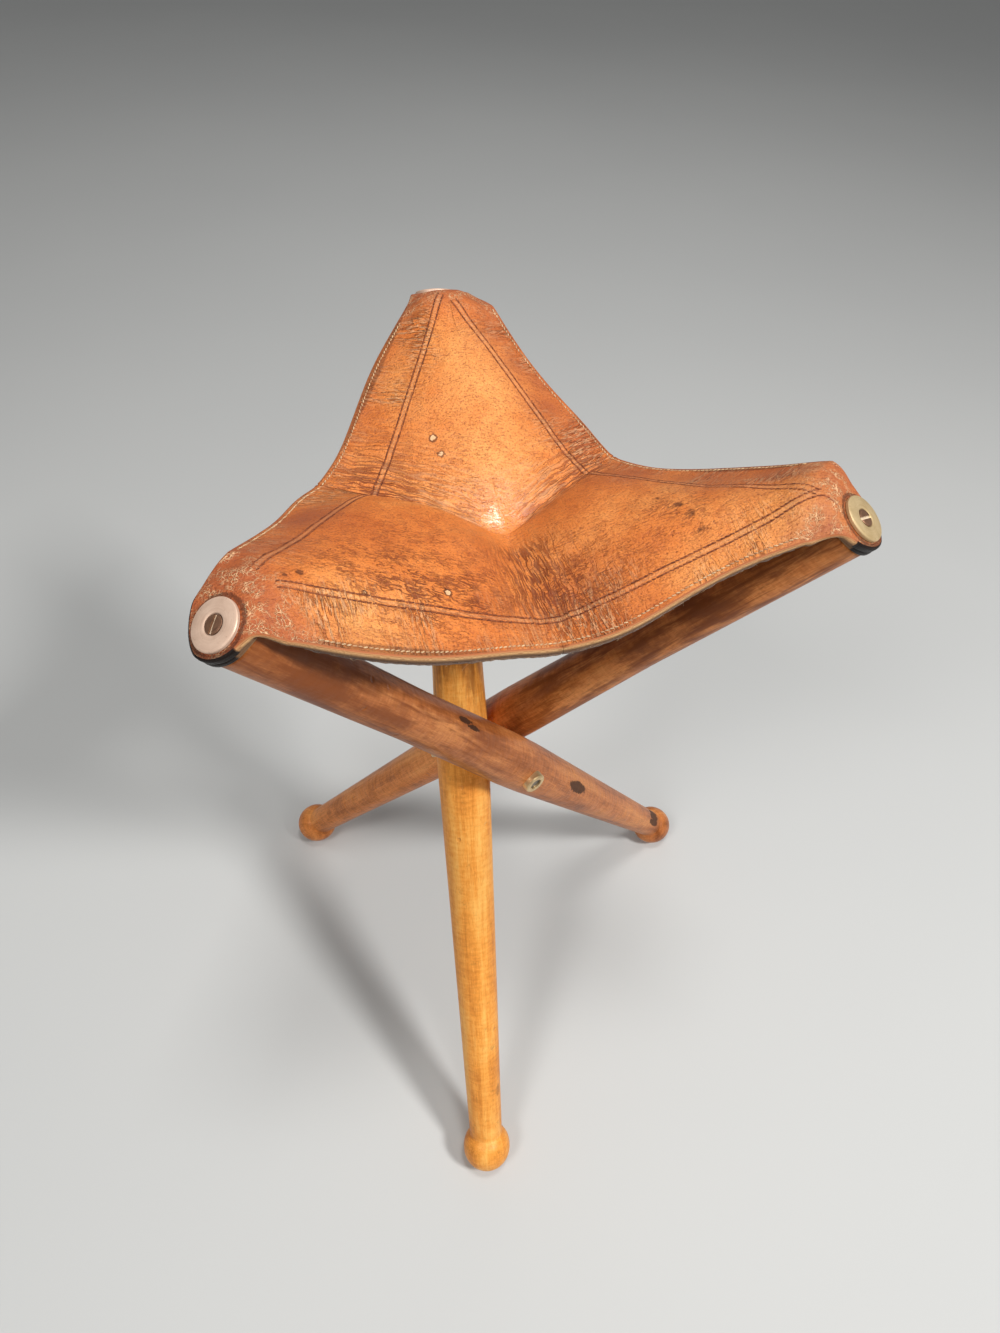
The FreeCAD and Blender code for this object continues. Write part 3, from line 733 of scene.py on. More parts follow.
# Marked places of the seat, by kind; the pale ones are partly rubbing and partly painted light
SEAT_MARKS = {
    Wear.STAIN: (Mark((68, -28), 3.5, 0.7), Mark((71, -36), 4.5, 0.6), Mark((62, -18), 3.0, 0.55),
                 Mark((57, -19), 3.5, 0.5), Mark((72, -46), 5.0, 0.55), Mark((51, -30), 4.0, 0.45),
                 Mark((-87, -71), 2.2, 0.8), Mark((-92, -74), 1.4, 0.8), Mark((-90, -77), 1.8, 0.6)),
    Wear.SCUFF: (Mark((-29.7, 48.1), 1.8, 1.1), Mark((-26.6, 40.0), 1.5, 1.1), Mark((-33.0, -61.5), 1.6, 1.1),
                 Mark((-65.0, -73.0), 1.2, 0.8)),
    # Pale: rubbed places, and painted light on the back lobe's lit slope and round the glint in the dimple
    Wear.PALE_RUBBED_AND_LIT: (Mark((-5, 11), 13), Mark((-6, 75), 34, 0.85), Mark((-5, 35), 34), Mark((108, -62), 30),
                Mark((-42, 80), 22, 0.7), Mark((-62, -90), 30, 0.8), Mark((45, -22), 26, 0.4),
                Mark((70, -72), 24, 0.6), Mark((0, -82), 20, 0.5)),
    Wear.RED: (Mark((16, 112), 16), Mark((30, 88), 15), Mark((45, 62), 16, 0.9), Mark((66, 28), 20),
               Mark((92, 0), 20), Mark((110, -22), 17, 0.9), Mark((-90, -18), 17), Mark((-106, -48), 17),
               Mark((4, -62), 14, 0.4), Mark((22, -52), 18, 0.5), Mark((-16, -28), 14, 0.4),
               Mark((8, 108), 13), Mark((18, 92), 13), Mark((30, 72), 13)),
    Wear.WRINKLED: (Mark((-48, -62), 24), Mark((-70, -60), 18, 0.7), Mark((-24, -58), 18, 0.9),
                    Mark((22, -52), 22, 0.9), Mark((66, -30), 16, 0.6), Mark((-45, -35), 22, 0.4),
                    Mark((-20, 25), 22, 0.3)),
}


def store(mesh: bpy.types.Mesh, vectors: dict[str, Array]) -> None:
    """Stores vectors at a mesh's vertices, by name."""
    for key, values in vectors.items():
        layer = mesh.attributes.new(key, "FLOAT_VECTOR", "POINT")
        layer.data.foreach_set("vector", np.asarray(values, np.float32).ravel())


def new_object(name: str, vertices: Array, faces: Sequence[Sequence[int]],
               materials: Sequence[bpy.types.Material], face_materials: Array | None = None,
               stored: dict[str, Array] | None = None, sharp_angle: float = 42.0) -> bpy.types.Object:
    """Writes a mesh object from millimetres.

    Args:
        name: The piece's name.
        vertices: Points in millimetres, one row each.
        faces: Vertex numbers of each face.
        materials: The piece's materials, in slot order.
        face_materials: The slot of each face, or None for the first.
        stored: Vectors to store at the vertices, by name.
        sharp_angle: Edges that turn by more than this many degrees stay sharp.

    Returns:
        The object, linked to the scene.
    """
    mesh = bpy.data.meshes.new(name)
    mesh.from_pydata((vertices * MM).tolist(), [], [list(face) for face in faces])
    for material in materials:
        mesh.materials.append(material)
    if face_materials is not None:
        mesh.polygons.foreach_set("material_index", np.asarray(face_materials, np.int32))
    mesh.polygons.foreach_set("use_smooth", np.ones(len(mesh.polygons), bool))
    store(mesh, stored or {})
    made = bpy.data.objects.new(name, mesh)
    bpy.context.scene.collection.objects.link(made)
    mend(made, sharp_angle)
    return made


def mend(piece: bpy.types.Object, sharp_angle: float) -> None:
    """Joins doubled vertices, drops empty faces and marks the sharp edges.

    Args:
        piece: The object to tidy.
        sharp_angle: Edges that turn by more than this many degrees stay sharp.
    """
    work = bmesh.new()
    work.from_mesh(piece.data)
    bmesh.ops.remove_doubles(work, verts=work.verts, dist=1e-7)
    bmesh.ops.dissolve_degenerate(work, edges=work.edges, dist=1e-8)
    work.to_mesh(piece.data)
    work.free()
    piece.data.set_sharp_from_angle(angle=math.radians(sharp_angle))


@dataclass(frozen=True)
class SlabMesh:
    """A closed slab under a grid of points: top, rounded rim and underside."""

    points: Array
    faces: list[tuple[int, ...]]
    face_slots: Array
    source: Array
    depth: Array


def slab(top: Array, normals: Array, thickness: float, rim: float, share: Array) -> SlabMesh:
    """Thickens a grid of points into a closed slab.

    Args:
        top: Points of the upper side, rows by columns by 3.
        normals: The upper side's normals, of the same shape.
        thickness: How thick the slab is.
        rim: Radius that the upper edge is rounded to, outside the grid.
        share: How much of the rim stands out at each grid point: 0 leaves a plain cut.

    Returns:
        The mesh, with slot 0 on top, 1 on the rim and 2 below, and each vertex's source in the grid.
    """
    rows, columns = top.shape[:2]
    number = np.arange(rows * columns).reshape(rows, columns)
    loop = np.concatenate([number[:, -1], number[-1, -2::-1], number[-2::-1, 0], number[0, 1:-1]])
    flat_top, flat_normals = top.reshape(-1, 3), normals.reshape(-1, 3)
    ring, down = flat_top[loop], flat_normals[loop]
    tangent = np.roll(ring, -1, 0) - np.roll(ring, 1, 0)
    outward = unit(np.cross(down, tangent)) * share.reshape(-1)[loop][:, None]
    lower = 0.45 * rim
    turns = np.radians([30.0, 60.0, 90.0])
    profile = [(rim * math.sin(a), rim * (1 - math.cos(a))) for a in turns]
    bevel = 0.3 * lower
    profile += [(rim, thickness - lower), (rim - bevel, thickness - bevel), (rim - lower, thickness)]
    rings = [ring + outward * out - down * fall for out, fall in profile]
    inner = number[1:-1, 1:-1].ravel()
    under = flat_top[inner] - flat_normals[inner] * thickness
    points = np.concatenate([flat_top, *rings, under])

    count, span = rows * columns, len(loop)
    below = np.full(rows * columns, -1)
    below[loop] = count + (len(profile) - 1) * span + np.arange(span)
    below[inner] = count + len(profile) * span + np.arange(len(inner))
    below = below.reshape(rows, columns)

    def across(grid: Array) -> Array:
        """The quads of a grid of vertex numbers."""
        return np.stack([grid[:-1, :-1], grid[1:, :-1], grid[1:, 1:], grid[:-1, 1:]], -1).reshape(-1, 4)

    quads, lower_quads = across(number), across(below)[:, [0, 3, 2, 1]]
    levels = [loop] + [count + k * span + np.arange(span) for k in range(len(profile))]
    walls = []
    for high, low in zip(levels, levels[1:]):
        walls.append(np.stack([high, np.roll(high, -1), np.roll(low, -1), low], -1))
    wall_quads = np.concatenate(walls)
    faces = np.concatenate([quads, wall_quads, lower_quads])
    slots = np.repeat([0, 1, 2], [len(quads), len(wall_quads), len(lower_quads)])
    source = np.concatenate([np.arange(count), *([loop] * len(profile)), inner])
    falls = [np.full(span, fall / thickness) for _, fall in profile]
    depth = np.concatenate([np.zeros(count), *falls, np.ones(len(inner))])
    return SlabMesh(points, [tuple(face) for face in faces.tolist()], slots, source, depth)


@dataclass(frozen=True)
class EdgeSide:
    """One free edge of a lobe, from the valley to the shoulder beside the leg end."""

    edge: Edge
    shoulder: float
    bow: float
    shoulder_drop: float
    crease: float
    pillow: float = 2.0
    gather: float = 1.0
    cap: float = 4.0
    taper: float = 0.72


@dataclass(frozen=True)
class SeatSizes:
    """Sizes that the three lobes of the seat share."""

    tilt: float = math.radians(35.3)
    top_reach: float = 245.0
    hide: float = 3.2
    patch: float = 2.8
    band: float = 2.6
    layer_gap: float = 0.1
    tongue_radius: float = 12.7
    fold_setback: float = 13.3
    bend_radius: float = 22.0
    dimple_drop: float = 52.0
    dimple_round: float = 6.0
    crown_power: float = 1.5
    edge_power: float = 1.35
    valley_rise: float = 32.0
    band_width: float = 24.0
    seam_gap: float = 3.0
    seam_round: float = 5.0
    stitch_inset: float = 2.7
    rim: float = 1.1
    disc_radius: float = 10.4

    @property
    def tongue_top(self) -> float:
        """Height of the tongue's upper side over the leg's end face."""
        return self.patch + self.layer_gap + self.hide


# Each edge: how far its middle lies from the axis, and its height over the dimple
EDGE_REACH = {Edge.FRONT: 81.5, Edge.RIGHT: 78.0, Edge.LEFT: 93.0}
EDGE_RISE = {Edge.FRONT: 9.5, Edge.RIGHT: 6.5, Edge.LEFT: 8.5}
# Each edge's inner seam: how far out it crosses the valley, and where it ends near the two corners, in plan
SEAM_REACH = {Edge.FRONT: 67.5, Edge.RIGHT: 58.5, Edge.LEFT: 66.0}
SEAM_ENDS = {
    Edge.FRONT: {"a": (-95.0, -81.0), "c": (117.0, -52.0)},
    Edge.RIGHT: {"c": (118.0, -47.0), "b": (-8.5, 122.0)},
    Edge.LEFT: {"b": (-14.5, 122.5), "a": (-99.0, -73.5)},
}
# Each edge's place among the valleys, so that both its lobes share one pattern of folds
EDGE_SEED = {Edge.FRONT: 3, Edge.RIGHT: 11, Edge.LEFT: 23}


class LobeSurface:
    """The upper side of one lobe, as a surface over rows along it and distances across it."""

    turn_start = 55.0
    turn_stop = 120.0
    droop_fade = 14.0
    hump_fade = 12.0
    cap_reach = 30.0
    bulge_place = 30.0
    bulge_reach = 19.0
    # Near an edge the folds and swells calm down to this share, over this distance
    calm_least = 0.15
    calm_reach = 22.0
    # The droop's width: a share of the room up to the lobe's middle, within limits
    droop_share = 0.6
    droop_widths = (8.0, 27.0)
    # Where the cap's fall to the sides starts, and how far it takes
    cap_start = 8.0
    cap_rise = 13.0
    cap_most = 1.2
    # A valley gathers from here on, and less so near the edge
    gather_start = 4.0
    gather_rise = 16.0
    gather_loss = 0.6
    slack_start = 22.0
    slack_reach = 20.0
    # Half the width of the gathered strip, and how that grows outwards
    gather_width = 7.0
    gather_growth = 0.16
    # Heights of the valley's folds
    fold_height = 1.5
    fine_height = 0.45
    # The hump lies this far behind the bend, with this length and width
    hump_back = 5.0
    hump_length = 11.0
    hump_width = 20.0
    # Slow swells of the leather: height and pitch
    swells = ((1.1, 38.0), (0.35, 11.0))
    # Past the bend the tongue's sides keep their droop for longer
    side_hang = 26.0
    side_start = 13.0
    side_rise = 9.0
    # Lines inside an edge close up where there is less room than this
    narrow_room = 33.0
    least_squeeze = 0.3
    # Lines inside an edge turn from the valley's direction to the edge's own over this distance
    square_reach = 22.0

    def __init__(self, sizes: SeatSizes, stand: Stand, left: EdgeSide, right: EdgeSide, hump: float,
                 bulge: float) -> None:
        """Works out the lobe's frame, its bend over the leg end and its edges.

        Args:
            sizes: What the lobes share.
            stand: The leg that carries the lobe.
            left, right: The edges on the two sides, seen from the middle.
            hump: How far the leather stands up just before it bends over the leg end.
            bulge: How far it swells up beside the dimple.
        """
        self.sizes, self.stand, self.hump, self.bulge = sizes, stand, hump, bulge
        self.sides = {1: left, -1: right}
        out = -stand.foot
        end = stand.pivot + stand.up * sizes.top_reach
        azimuth = math.atan2(end[1], end[0])
        self.along = np.array([math.cos(azimuth), math.sin(azimuth), 0.0])
        self.left = np.array([-math.sin(azimuth), math.cos(azimuth), 0.0])
        self.out = out
        self.out_plan = np.array([out @ self.along, out @ self.left])
        self.pivot_plan = np.array([stand.pivot @ self.along, stand.pivot @ self.left])
        self.skew = math.atan2(-self.out_plan[1], self.out_plan[0])

        over = end + stand.up * sizes.tongue_top
        self.top = over[2] + sizes.fold_setback * math.sin(sizes.tilt)
        tangent = sizes.bend_radius * math.tan(sizes.tilt / 2)
        over_reach = (over - stand.pivot) @ out
        bend_reach = over_reach - sizes.fold_setback * math.cos(sizes.tilt) - tangent
        self.bend_row = self.pivot_plan[0] + bend_reach * self.out_plan[0]
        self.arc = sizes.bend_radius * sizes.tilt
        self.axis_row = self.bend_row + self.arc + sizes.fold_setback - tangent
        self.dimple = self.top - sizes.dimple_drop
        self.lines = {side: self._edge_line(side) for side in self.sides}
        self.seams = {side: self._seam_lines(side) for side in self.sides}

    def _seam_lines(self, side: int) -> list[tuple[Array, Array, Array]]:
        """The straight lines of an edge's inner seam in plan, this lobe's own first.

        Args:
            side: 1 for the left edge, -1 for the right.

        Returns:
            For each lobe by the edge: where its line crosses the valley, where it ends, and the way in.
        """
        edge = self.sides[side].edge
        cross = SEAM_REACH[edge] * np.array([math.cos(VALLEY_ANGLE), side * math.sin(VALLEY_ANGLE)])
        made = []
        for letter in sorted(SEAM_ENDS[edge], key=lambda name: name != self.stand.letter):
            place = np.array([*SEAM_ENDS[edge][letter], 0.0])
            end = np.array([place @ self.along, place @ self.left])
            run = unit(end - cross)
            inward = np.array([run[1], -run[0]])
            made.append((cross, end, inward if inward @ cross < 0 else -inward))
        return made

    def seam_place(self, side: int, x: Array, y: Array) -> Array:
        """How far in from an edge's inner seam plan points lie, with the seam rounded at the valley."""
        offs = [(x - cross[0]) * inward[0] + (y - cross[1]) * inward[1]
                for cross, _, inward in self.seams[side]]
        soft = self.sizes.seam_round
        return soft * np.logaddexp(offs[0] / soft, offs[1] / soft) - soft * math.log(2.0)

    def seam_path(self, side: int, inset: float, pitch: float) -> tuple[Array, Array, Array]:
        """Evenly spaced places along one row of an edge's inner seam.

        Args:
            side: 1 for the left edge, -1 for the right.
            inset: How far in from the seam the row runs.
            pitch: Distance from one place to the next.

        Returns:
            Points on the upper side, directions along the row and normals there.
        """
        cross, end, inward = self.seams[side][0]
        spots = cross + np.linspace(0, 1, 300)[:, None] * (end - cross)
        for _ in range(3):
            off = self.seam_place(side, spots[:, 0], spots[:, 1]) - inset
            spots = spots - off[:, None] * inward
        spots = spots[np.abs(np.arctan2(spots[:, 1], spots[:, 0])) <= VALLEY_ANGLE]
        x, y = spots[:, 0], spots[:, 1]
        return self.laid(*spaced(self.over(x, y), pitch, x, y))

    def laid(self, x: Array, y: Array) -> tuple[Array, Array, Array]:
        """Points of the seat over a line in plan, directions along it and normals there."""
        points = self.over(x, y)
        return points, unit(np.gradient(points, axis=0)), self.over_normals(x, y)

    def edge_start(self, side: int) -> float:
        """How far along the lobe an edge begins, at its valley."""
        return EDGE_REACH[self.sides[side].edge] * math.cos(VALLEY_ANGLE)

    def _edge_line(self, side: int) -> dict[str, Array]:
        """The straight line that an edge follows in plan, and its heights."""
        facts = self.sides[side]
        reach = EDGE_REACH[facts.edge]
        middle = np.array([reach * math.cos(VALLEY_ANGLE), side * reach * math.sin(VALLEY_ANGLE)])
        shoulder = np.array(self.plan(np.array(self.bend_row), np.array(side * facts.shoulder)))
        length = float(np.linalg.norm(shoulder - middle))
        run = (shoulder - middle) / length
        inward = np.array([run[1], -run[0]]) * side
        steps = np.linspace(0.0, length + 60.0, 240)
        feet = middle + steps[:, None] * run
        base = self._base(feet[:, 0], feet[:, 1])
        low = self.dimple + EDGE_RISE[facts.edge]
        high = self.top - facts.shoulder_drop
        aim = low + (high - low) * np.clip(steps / length, 0, 1) ** self.sizes.edge_power
        depth = feet[:, 1] * side / max(abs(inward[1]), 0.2)
        return {"middle": middle, "run": run, "inward": inward, "length": length, "steps": steps,
                "droop": base - aim, "room": np.maximum(depth, 12.0)}

    def plan(self, row: Array, across: Array) -> tuple[Array, Array]:
        """Plan coordinates in the lobe's own axes.

        Args:
            row: Distance along the lobe.
            across: Distance to the left of the lobe's middle line.

        Returns:
            Distance out along the lobe and distance to its left.
        """
        share = ease((row - self.turn_start) / (self.turn_stop - self.turn_start))
        turn = self.skew * share
        slope = self.out_plan[1] / self.out_plan[0]
        centre = share * (self.pivot_plan[1] + (row - self.pivot_plan[0]) * slope)
        return row + across * np.sin(turn), centre + across * np.cos(turn)

    def _base(self, x: Array, y: Array) -> Array:
        """Height of the crown and the valleys, before the edges droop."""
        sizes = self.sizes
        reach = np.hypot(x, y)
        angle = np.arctan2(np.abs(y), x)
        share = np.clip(angle / VALLEY_ANGLE, 0, 1)
        soft = np.sqrt(reach ** 2 + sizes.dimple_round ** 2) - sizes.dimple_round
        full = math.hypot(self.bend_row, sizes.dimple_round) - sizes.dimple_round
        crown = self.top - sizes.dimple_drop * np.clip(1 - soft / full, 0, 1) ** sizes.crown_power
        crown = crown + self.bulge * np.exp(-((reach - self.bulge_place) / self.bulge_reach) ** 2)
        height = np.zeros_like(reach)
        for side, facts in self.sides.items():
            mine = y >= 0 if side > 0 else y < 0
            valley = self.dimple + EDGE_RISE[facts.edge] * (1 - np.exp(-(reach / sizes.valley_rise) ** 2))
            round_fall = 0.5 + 0.5 * np.cos(math.pi * share)
            sharp_fall = 1 - share ** facts.pillow
            fall = (1 - facts.crease) * round_fall + facts.crease * sharp_fall
            height = np.where(mine, valley + (crown - valley) * fall, height)
        return height

    def edge_place(self, side: int, x: Array, y: Array) -> tuple[Array, Array]:
        """Where a plan point lies by one edge.

        Args:
            side: 1 for the left edge, -1 for the right.
            x, y: Plan coordinates in the lobe's axes.

        Returns:
            Distance along the edge from its middle, and distance in from it.
        """
        line = self.lines[side]
        dx, dy = x - line["middle"][0], y - line["middle"][1]
        run = dx * line["run"][0] + dy * line["run"][1]
        inset = dx * line["inward"][0] + dy * line["inward"][1]
        share = np.clip(run / line["length"], 0, 1)
        return run, inset + self.sides[side].bow * 4 * share * (1 - share)

    def height(self, x: Array, y: Array) -> Array:
        """Height of the seat over a plan point, with drooping edges and folds.

        Args:
            x, y: Plan coordinates in the lobe's axes.

        Returns:
            The height over the floor.
        """
        z = self._base(x, y)
        calm = np.ones_like(z)
        for side, facts in self.sides.items():
            line = self.lines[side]
            run, inset = self.edge_place(side, x, y)
            calm = np.minimum(calm, self.calm_least + (1 - self.calm_least) * ease(inset / self.calm_reach))
            droop, room = (np.interp(run, line["steps"], line[name]) for name in ("droop", "room"))
            width = np.clip(self.droop_share * room, *self.droop_widths)
            z = z - droop * np.exp(-(np.maximum(inset, 0) / width) ** 2)
            near_end = np.clip((x - self.bend_row) / self.cap_reach + 1, 0, self.cap_most) ** 2
            z = z - facts.cap * near_end * ease((y * side - self.cap_start) / self.cap_rise)
        across, along, share = self.valley_place(x, y)
        seeds = np.where(y >= 0, EDGE_SEED[self.sides[1].edge], EDGE_SEED[self.sides[-1].edge])
        for seed in np.unique(seeds):
            bend = lattice_noise(along * 0.05, across * 0.02, 5)
            fold = lattice_noise(across * 0.17 + bend, along * 0.022, int(seed))
            fine = lattice_noise(across * 0.4, along * 0.04, int(seed) + 1)
            lift = self.fold_height * fold + self.fine_height * fine
            z = np.where(seeds == seed, z + calm * share * lift, z)
        behind = (x - self.bend_row + self.hump_back) / self.hump_length
        z = z + self.hump * np.exp(-behind ** 2 - (y / self.hump_width) ** 2)
        world = x[..., None] * self.along + y[..., None] * self.left
        for order, (high, pitch) in enumerate(self.swells):
            z = z + calm * high * lattice_noise(world[..., 0] / pitch, world[..., 1] / pitch, SEED + order)
        return z

    def valley_place(self, x: Array, y: Array) -> tuple[Array, Array, Array]:
        """Where a plan point lies by the nearer valley.

        Args:
            x, y: Plan coordinates in the lobe's axes.

        Returns:
            Signed distance across the valley, distance along it, and how much it is gathered there.
        """
        reach = np.hypot(x, y)
        off = VALLEY_ANGLE - np.abs(np.arctan2(y, x))
        across = reach * np.sin(off) * np.where(y >= 0, -1.0, 1.0)
        along = reach * np.cos(off)
        limit = np.where(y >= 0, EDGE_REACH[self.sides[1].edge], EDGE_REACH[self.sides[-1].edge])
        slack = ease((along - limit + self.slack_start) / self.slack_reach)
        share = ease((along - self.gather_start) / self.gather_rise) * (1 - self.gather_loss * slack)
        gather = np.where(y >= 0, self.sides[1].gather, self.sides[-1].gather)
        width = gather * (self.gather_width + self.gather_growth * along)
        return across, along, share * np.exp(-(across / width) ** 2)

    def at(self, row: Array, across: Array) -> Array:
        """Points of the upper side.

        Args:
            row: Distance along the lobe, past the bend counted over the leather.
            across: Distance to the left of the lobe's middle line.

        Returns:
            Points in the stool's frame.
        """
        sizes = self.sizes
        x, y = self.plan(np.minimum(row, self.bend_row), across)
        z = self.height(x, y)
        ground = x[..., None] * self.along + y[..., None] * self.left
        beyond = np.maximum(row - self.bend_row, 0)
        turn = np.minimum(beyond / sizes.bend_radius, sizes.tilt)
        straight = np.maximum(beyond - self.arc, 0)
        reach = sizes.bend_radius * np.sin(turn) + straight * math.cos(sizes.tilt)
        fall = sizes.bend_radius * (1 - np.cos(turn)) + straight * math.sin(sizes.tilt)
        normal = np.sin(turn)[..., None] * self.out + np.cos(turn)[..., None] * UP
        lift = z - self.top
        hang = self.droop_fade + self.side_hang * ease((np.abs(across) - self.side_start) / self.side_rise)
        lift = lift * (1 - ease(beyond / np.where(lift > 0, self.hump_fade, hang)))
        level = (self.top - fall)[..., None] * UP
        return ground + reach[..., None] * self.out + level + lift[..., None] * normal

    def normals(self, row: Array, across: Array) -> Array:
        """Normals of the upper side."""
        return normals_of(self.at, row, across)

    def half_width(self, side: int, row: Array) -> Array:
        """Distance from the lobe's middle line to its edge or valley.

        Args:
            side: 1 for the left, -1 for the right.
            row: Distance along the lobe.

        Returns:
            The distance across, never negative.
        """
        facts, sizes = self.sides[side], self.sizes
        start = self.edge_start(side)
        widest = EDGE_REACH[facts.edge] * math.sin(VALLEY_ANGLE)
        length = self.bend_row - start
        share = (row - start) / length
        line = widest + (facts.shoulder - widest) * share + facts.bow * 4 * share * (1 - np.minimum(share, 1))
        line = np.where(share > 1, facts.shoulder - facts.taper * (row - self.bend_row), line)
        past = np.clip((row - self.axis_row) / sizes.tongue_radius, 0, 1)
        tongue = sizes.tongue_radius * np.sqrt(1 - past ** 2)
        soft = 3.0
        extra = soft * np.logaddexp(0, (line - sizes.tongue_radius) / soft) * (1 - past ** 2)
        return np.where(row < start, row * math.tan(VALLEY_ANGLE), tongue + extra)

    def edge_path(self, side: int, inset: float, pitch: float, shy: float) -> tuple[Array, Array, Array]:
        """Evenly spaced places on a line that follows an edge.

        Args:
            side: 1 for the left edge, -1 for the right.
            inset: How far in from the edge the line runs.
            pitch: Distance from one place to the next.
            shy: How far short of the bend the line stops.

        Returns:
            Points on the upper side, directions along the line and normals there.
        """
        rows = np.linspace(self.edge_start(side), self.bend_row - shy, 500)
        x, y = self.plan_inset(side, rows, np.full_like(rows, inset), False)
        x, y = spaced(self.over(x, y), pitch, x, y)
        kept = x < self.bend_row - 6
        return self.laid(x[kept], y[kept])

    def plan_inset(self, side: int, rows: Array, inset: Array, squeeze: bool) -> tuple[Array, Array]:
        """Plan points set in from an edge, square to it, and square to the valley at its middle.

        Args:
            side: 1 for the left edge, -1 for the right.
            rows: Where along the lobe the edge is left.
            inset: How far in each point lies.
            squeeze: Whether insets shrink where the lobe narrows.

        Returns:
            Plan coordinates in the lobe's axes.
        """
        x, y = self.plan(rows, side * self.half_width(side, rows))
        run = unit(np.stack([np.gradient(x), np.gradient(y)], -1))
        inward = np.stack([run[:, 1], -run[:, 0]], -1) * side
        valley = -np.array([math.cos(VALLEY_ANGLE), side * math.sin(VALLEY_ANGLE)])
        share = ease((rows - rows[0]) / self.square_reach)[:, None]
        inward = unit(valley * (1 - share) + inward * share)
        if squeeze:
            inset = inset * self.squeeze(side, x, y)
        return x + inward[:, 0] * inset, y + inward[:, 1] * inset

    def squeeze(self, side: int, x: Array, y: Array) -> Array:
        """How much the lines inside an edge close up where the lobe narrows, up to 1."""
        run, _ = self.edge_place(side, x, y)
        room = np.interp(run, self.lines[side]["steps"], self.lines[side]["room"])
        return np.clip(room / self.narrow_room, self.least_squeeze, 1.0)

    def over(self, x: Array, y: Array) -> Array:
        """Points of the seat over plan coordinates in the lobe's axes."""
        flat = x[..., None] * self.along + y[..., None] * self.left
        return flat + self.height(x, y)[..., None] * UP

    def over_normals(self, x: Array, y: Array) -> Array:
        """Normals of the seat over plan coordinates in the lobe's axes."""
        return normals_of(self.over, x, y)


def tube_faces(rings: int, turns: int) -> list[tuple[int, ...]]:
    """Quads between rings of vertices, with a cap at both ends.

    Args:
        rings: How many rings there are.
        turns: How many vertices a ring has.

    Returns:
        Vertex numbers of each face.
    """
    number = np.arange(rings * turns).reshape(rings, turns)
    beside = np.roll(number, -1, 1)
    quads = np.stack([number[:-1], number[1:], beside[1:], beside[:-1]], -1).reshape(-1, 4)
    caps = [tuple(number[0].tolist()), tuple(number[-1, ::-1].tolist())]
    return [tuple(face) for face in quads.tolist()] + caps


@dataclass(frozen=True)
class LeatherFinishes:
    """The materials of the seat."""

    grain: bpy.types.Material
    rim: bpy.types.Material
    flesh: bpy.types.Material
    lining: bpy.types.Material
    fuzz: bpy.types.Material
    pale_thread: bpy.types.Material
    dark_thread: bpy.types.Material

    @classmethod
    def make(cls) -> "LeatherFinishes":
        """Makes them all."""
        flesh = FleshSide("flesh_side", tone(112, 72, 46), tone(150, 102, 66), tone(180, 134, 92))
        lining = FleshSide("lining_suede", tone(62, 36, 21), tone(116, 76, 44), tone(176, 130, 82))
        pale = WaxedThread("pale_thread", tone(240, 208, 162), tone(176, 112, 66))
        dark = WaxedThread("dark_thread", tone(164, 92, 52), tone(88, 40, 22))
        fuzz = FleshSide("pale_fuzz", tone(180, 138, 94), tone(212, 176, 130), tone(236, 208, 168))
        return cls(SaddleGrain().material(), CutEdge().material(), flesh.material(), lining.material(),
                   fuzz.material(), pale.material(), dark.material())


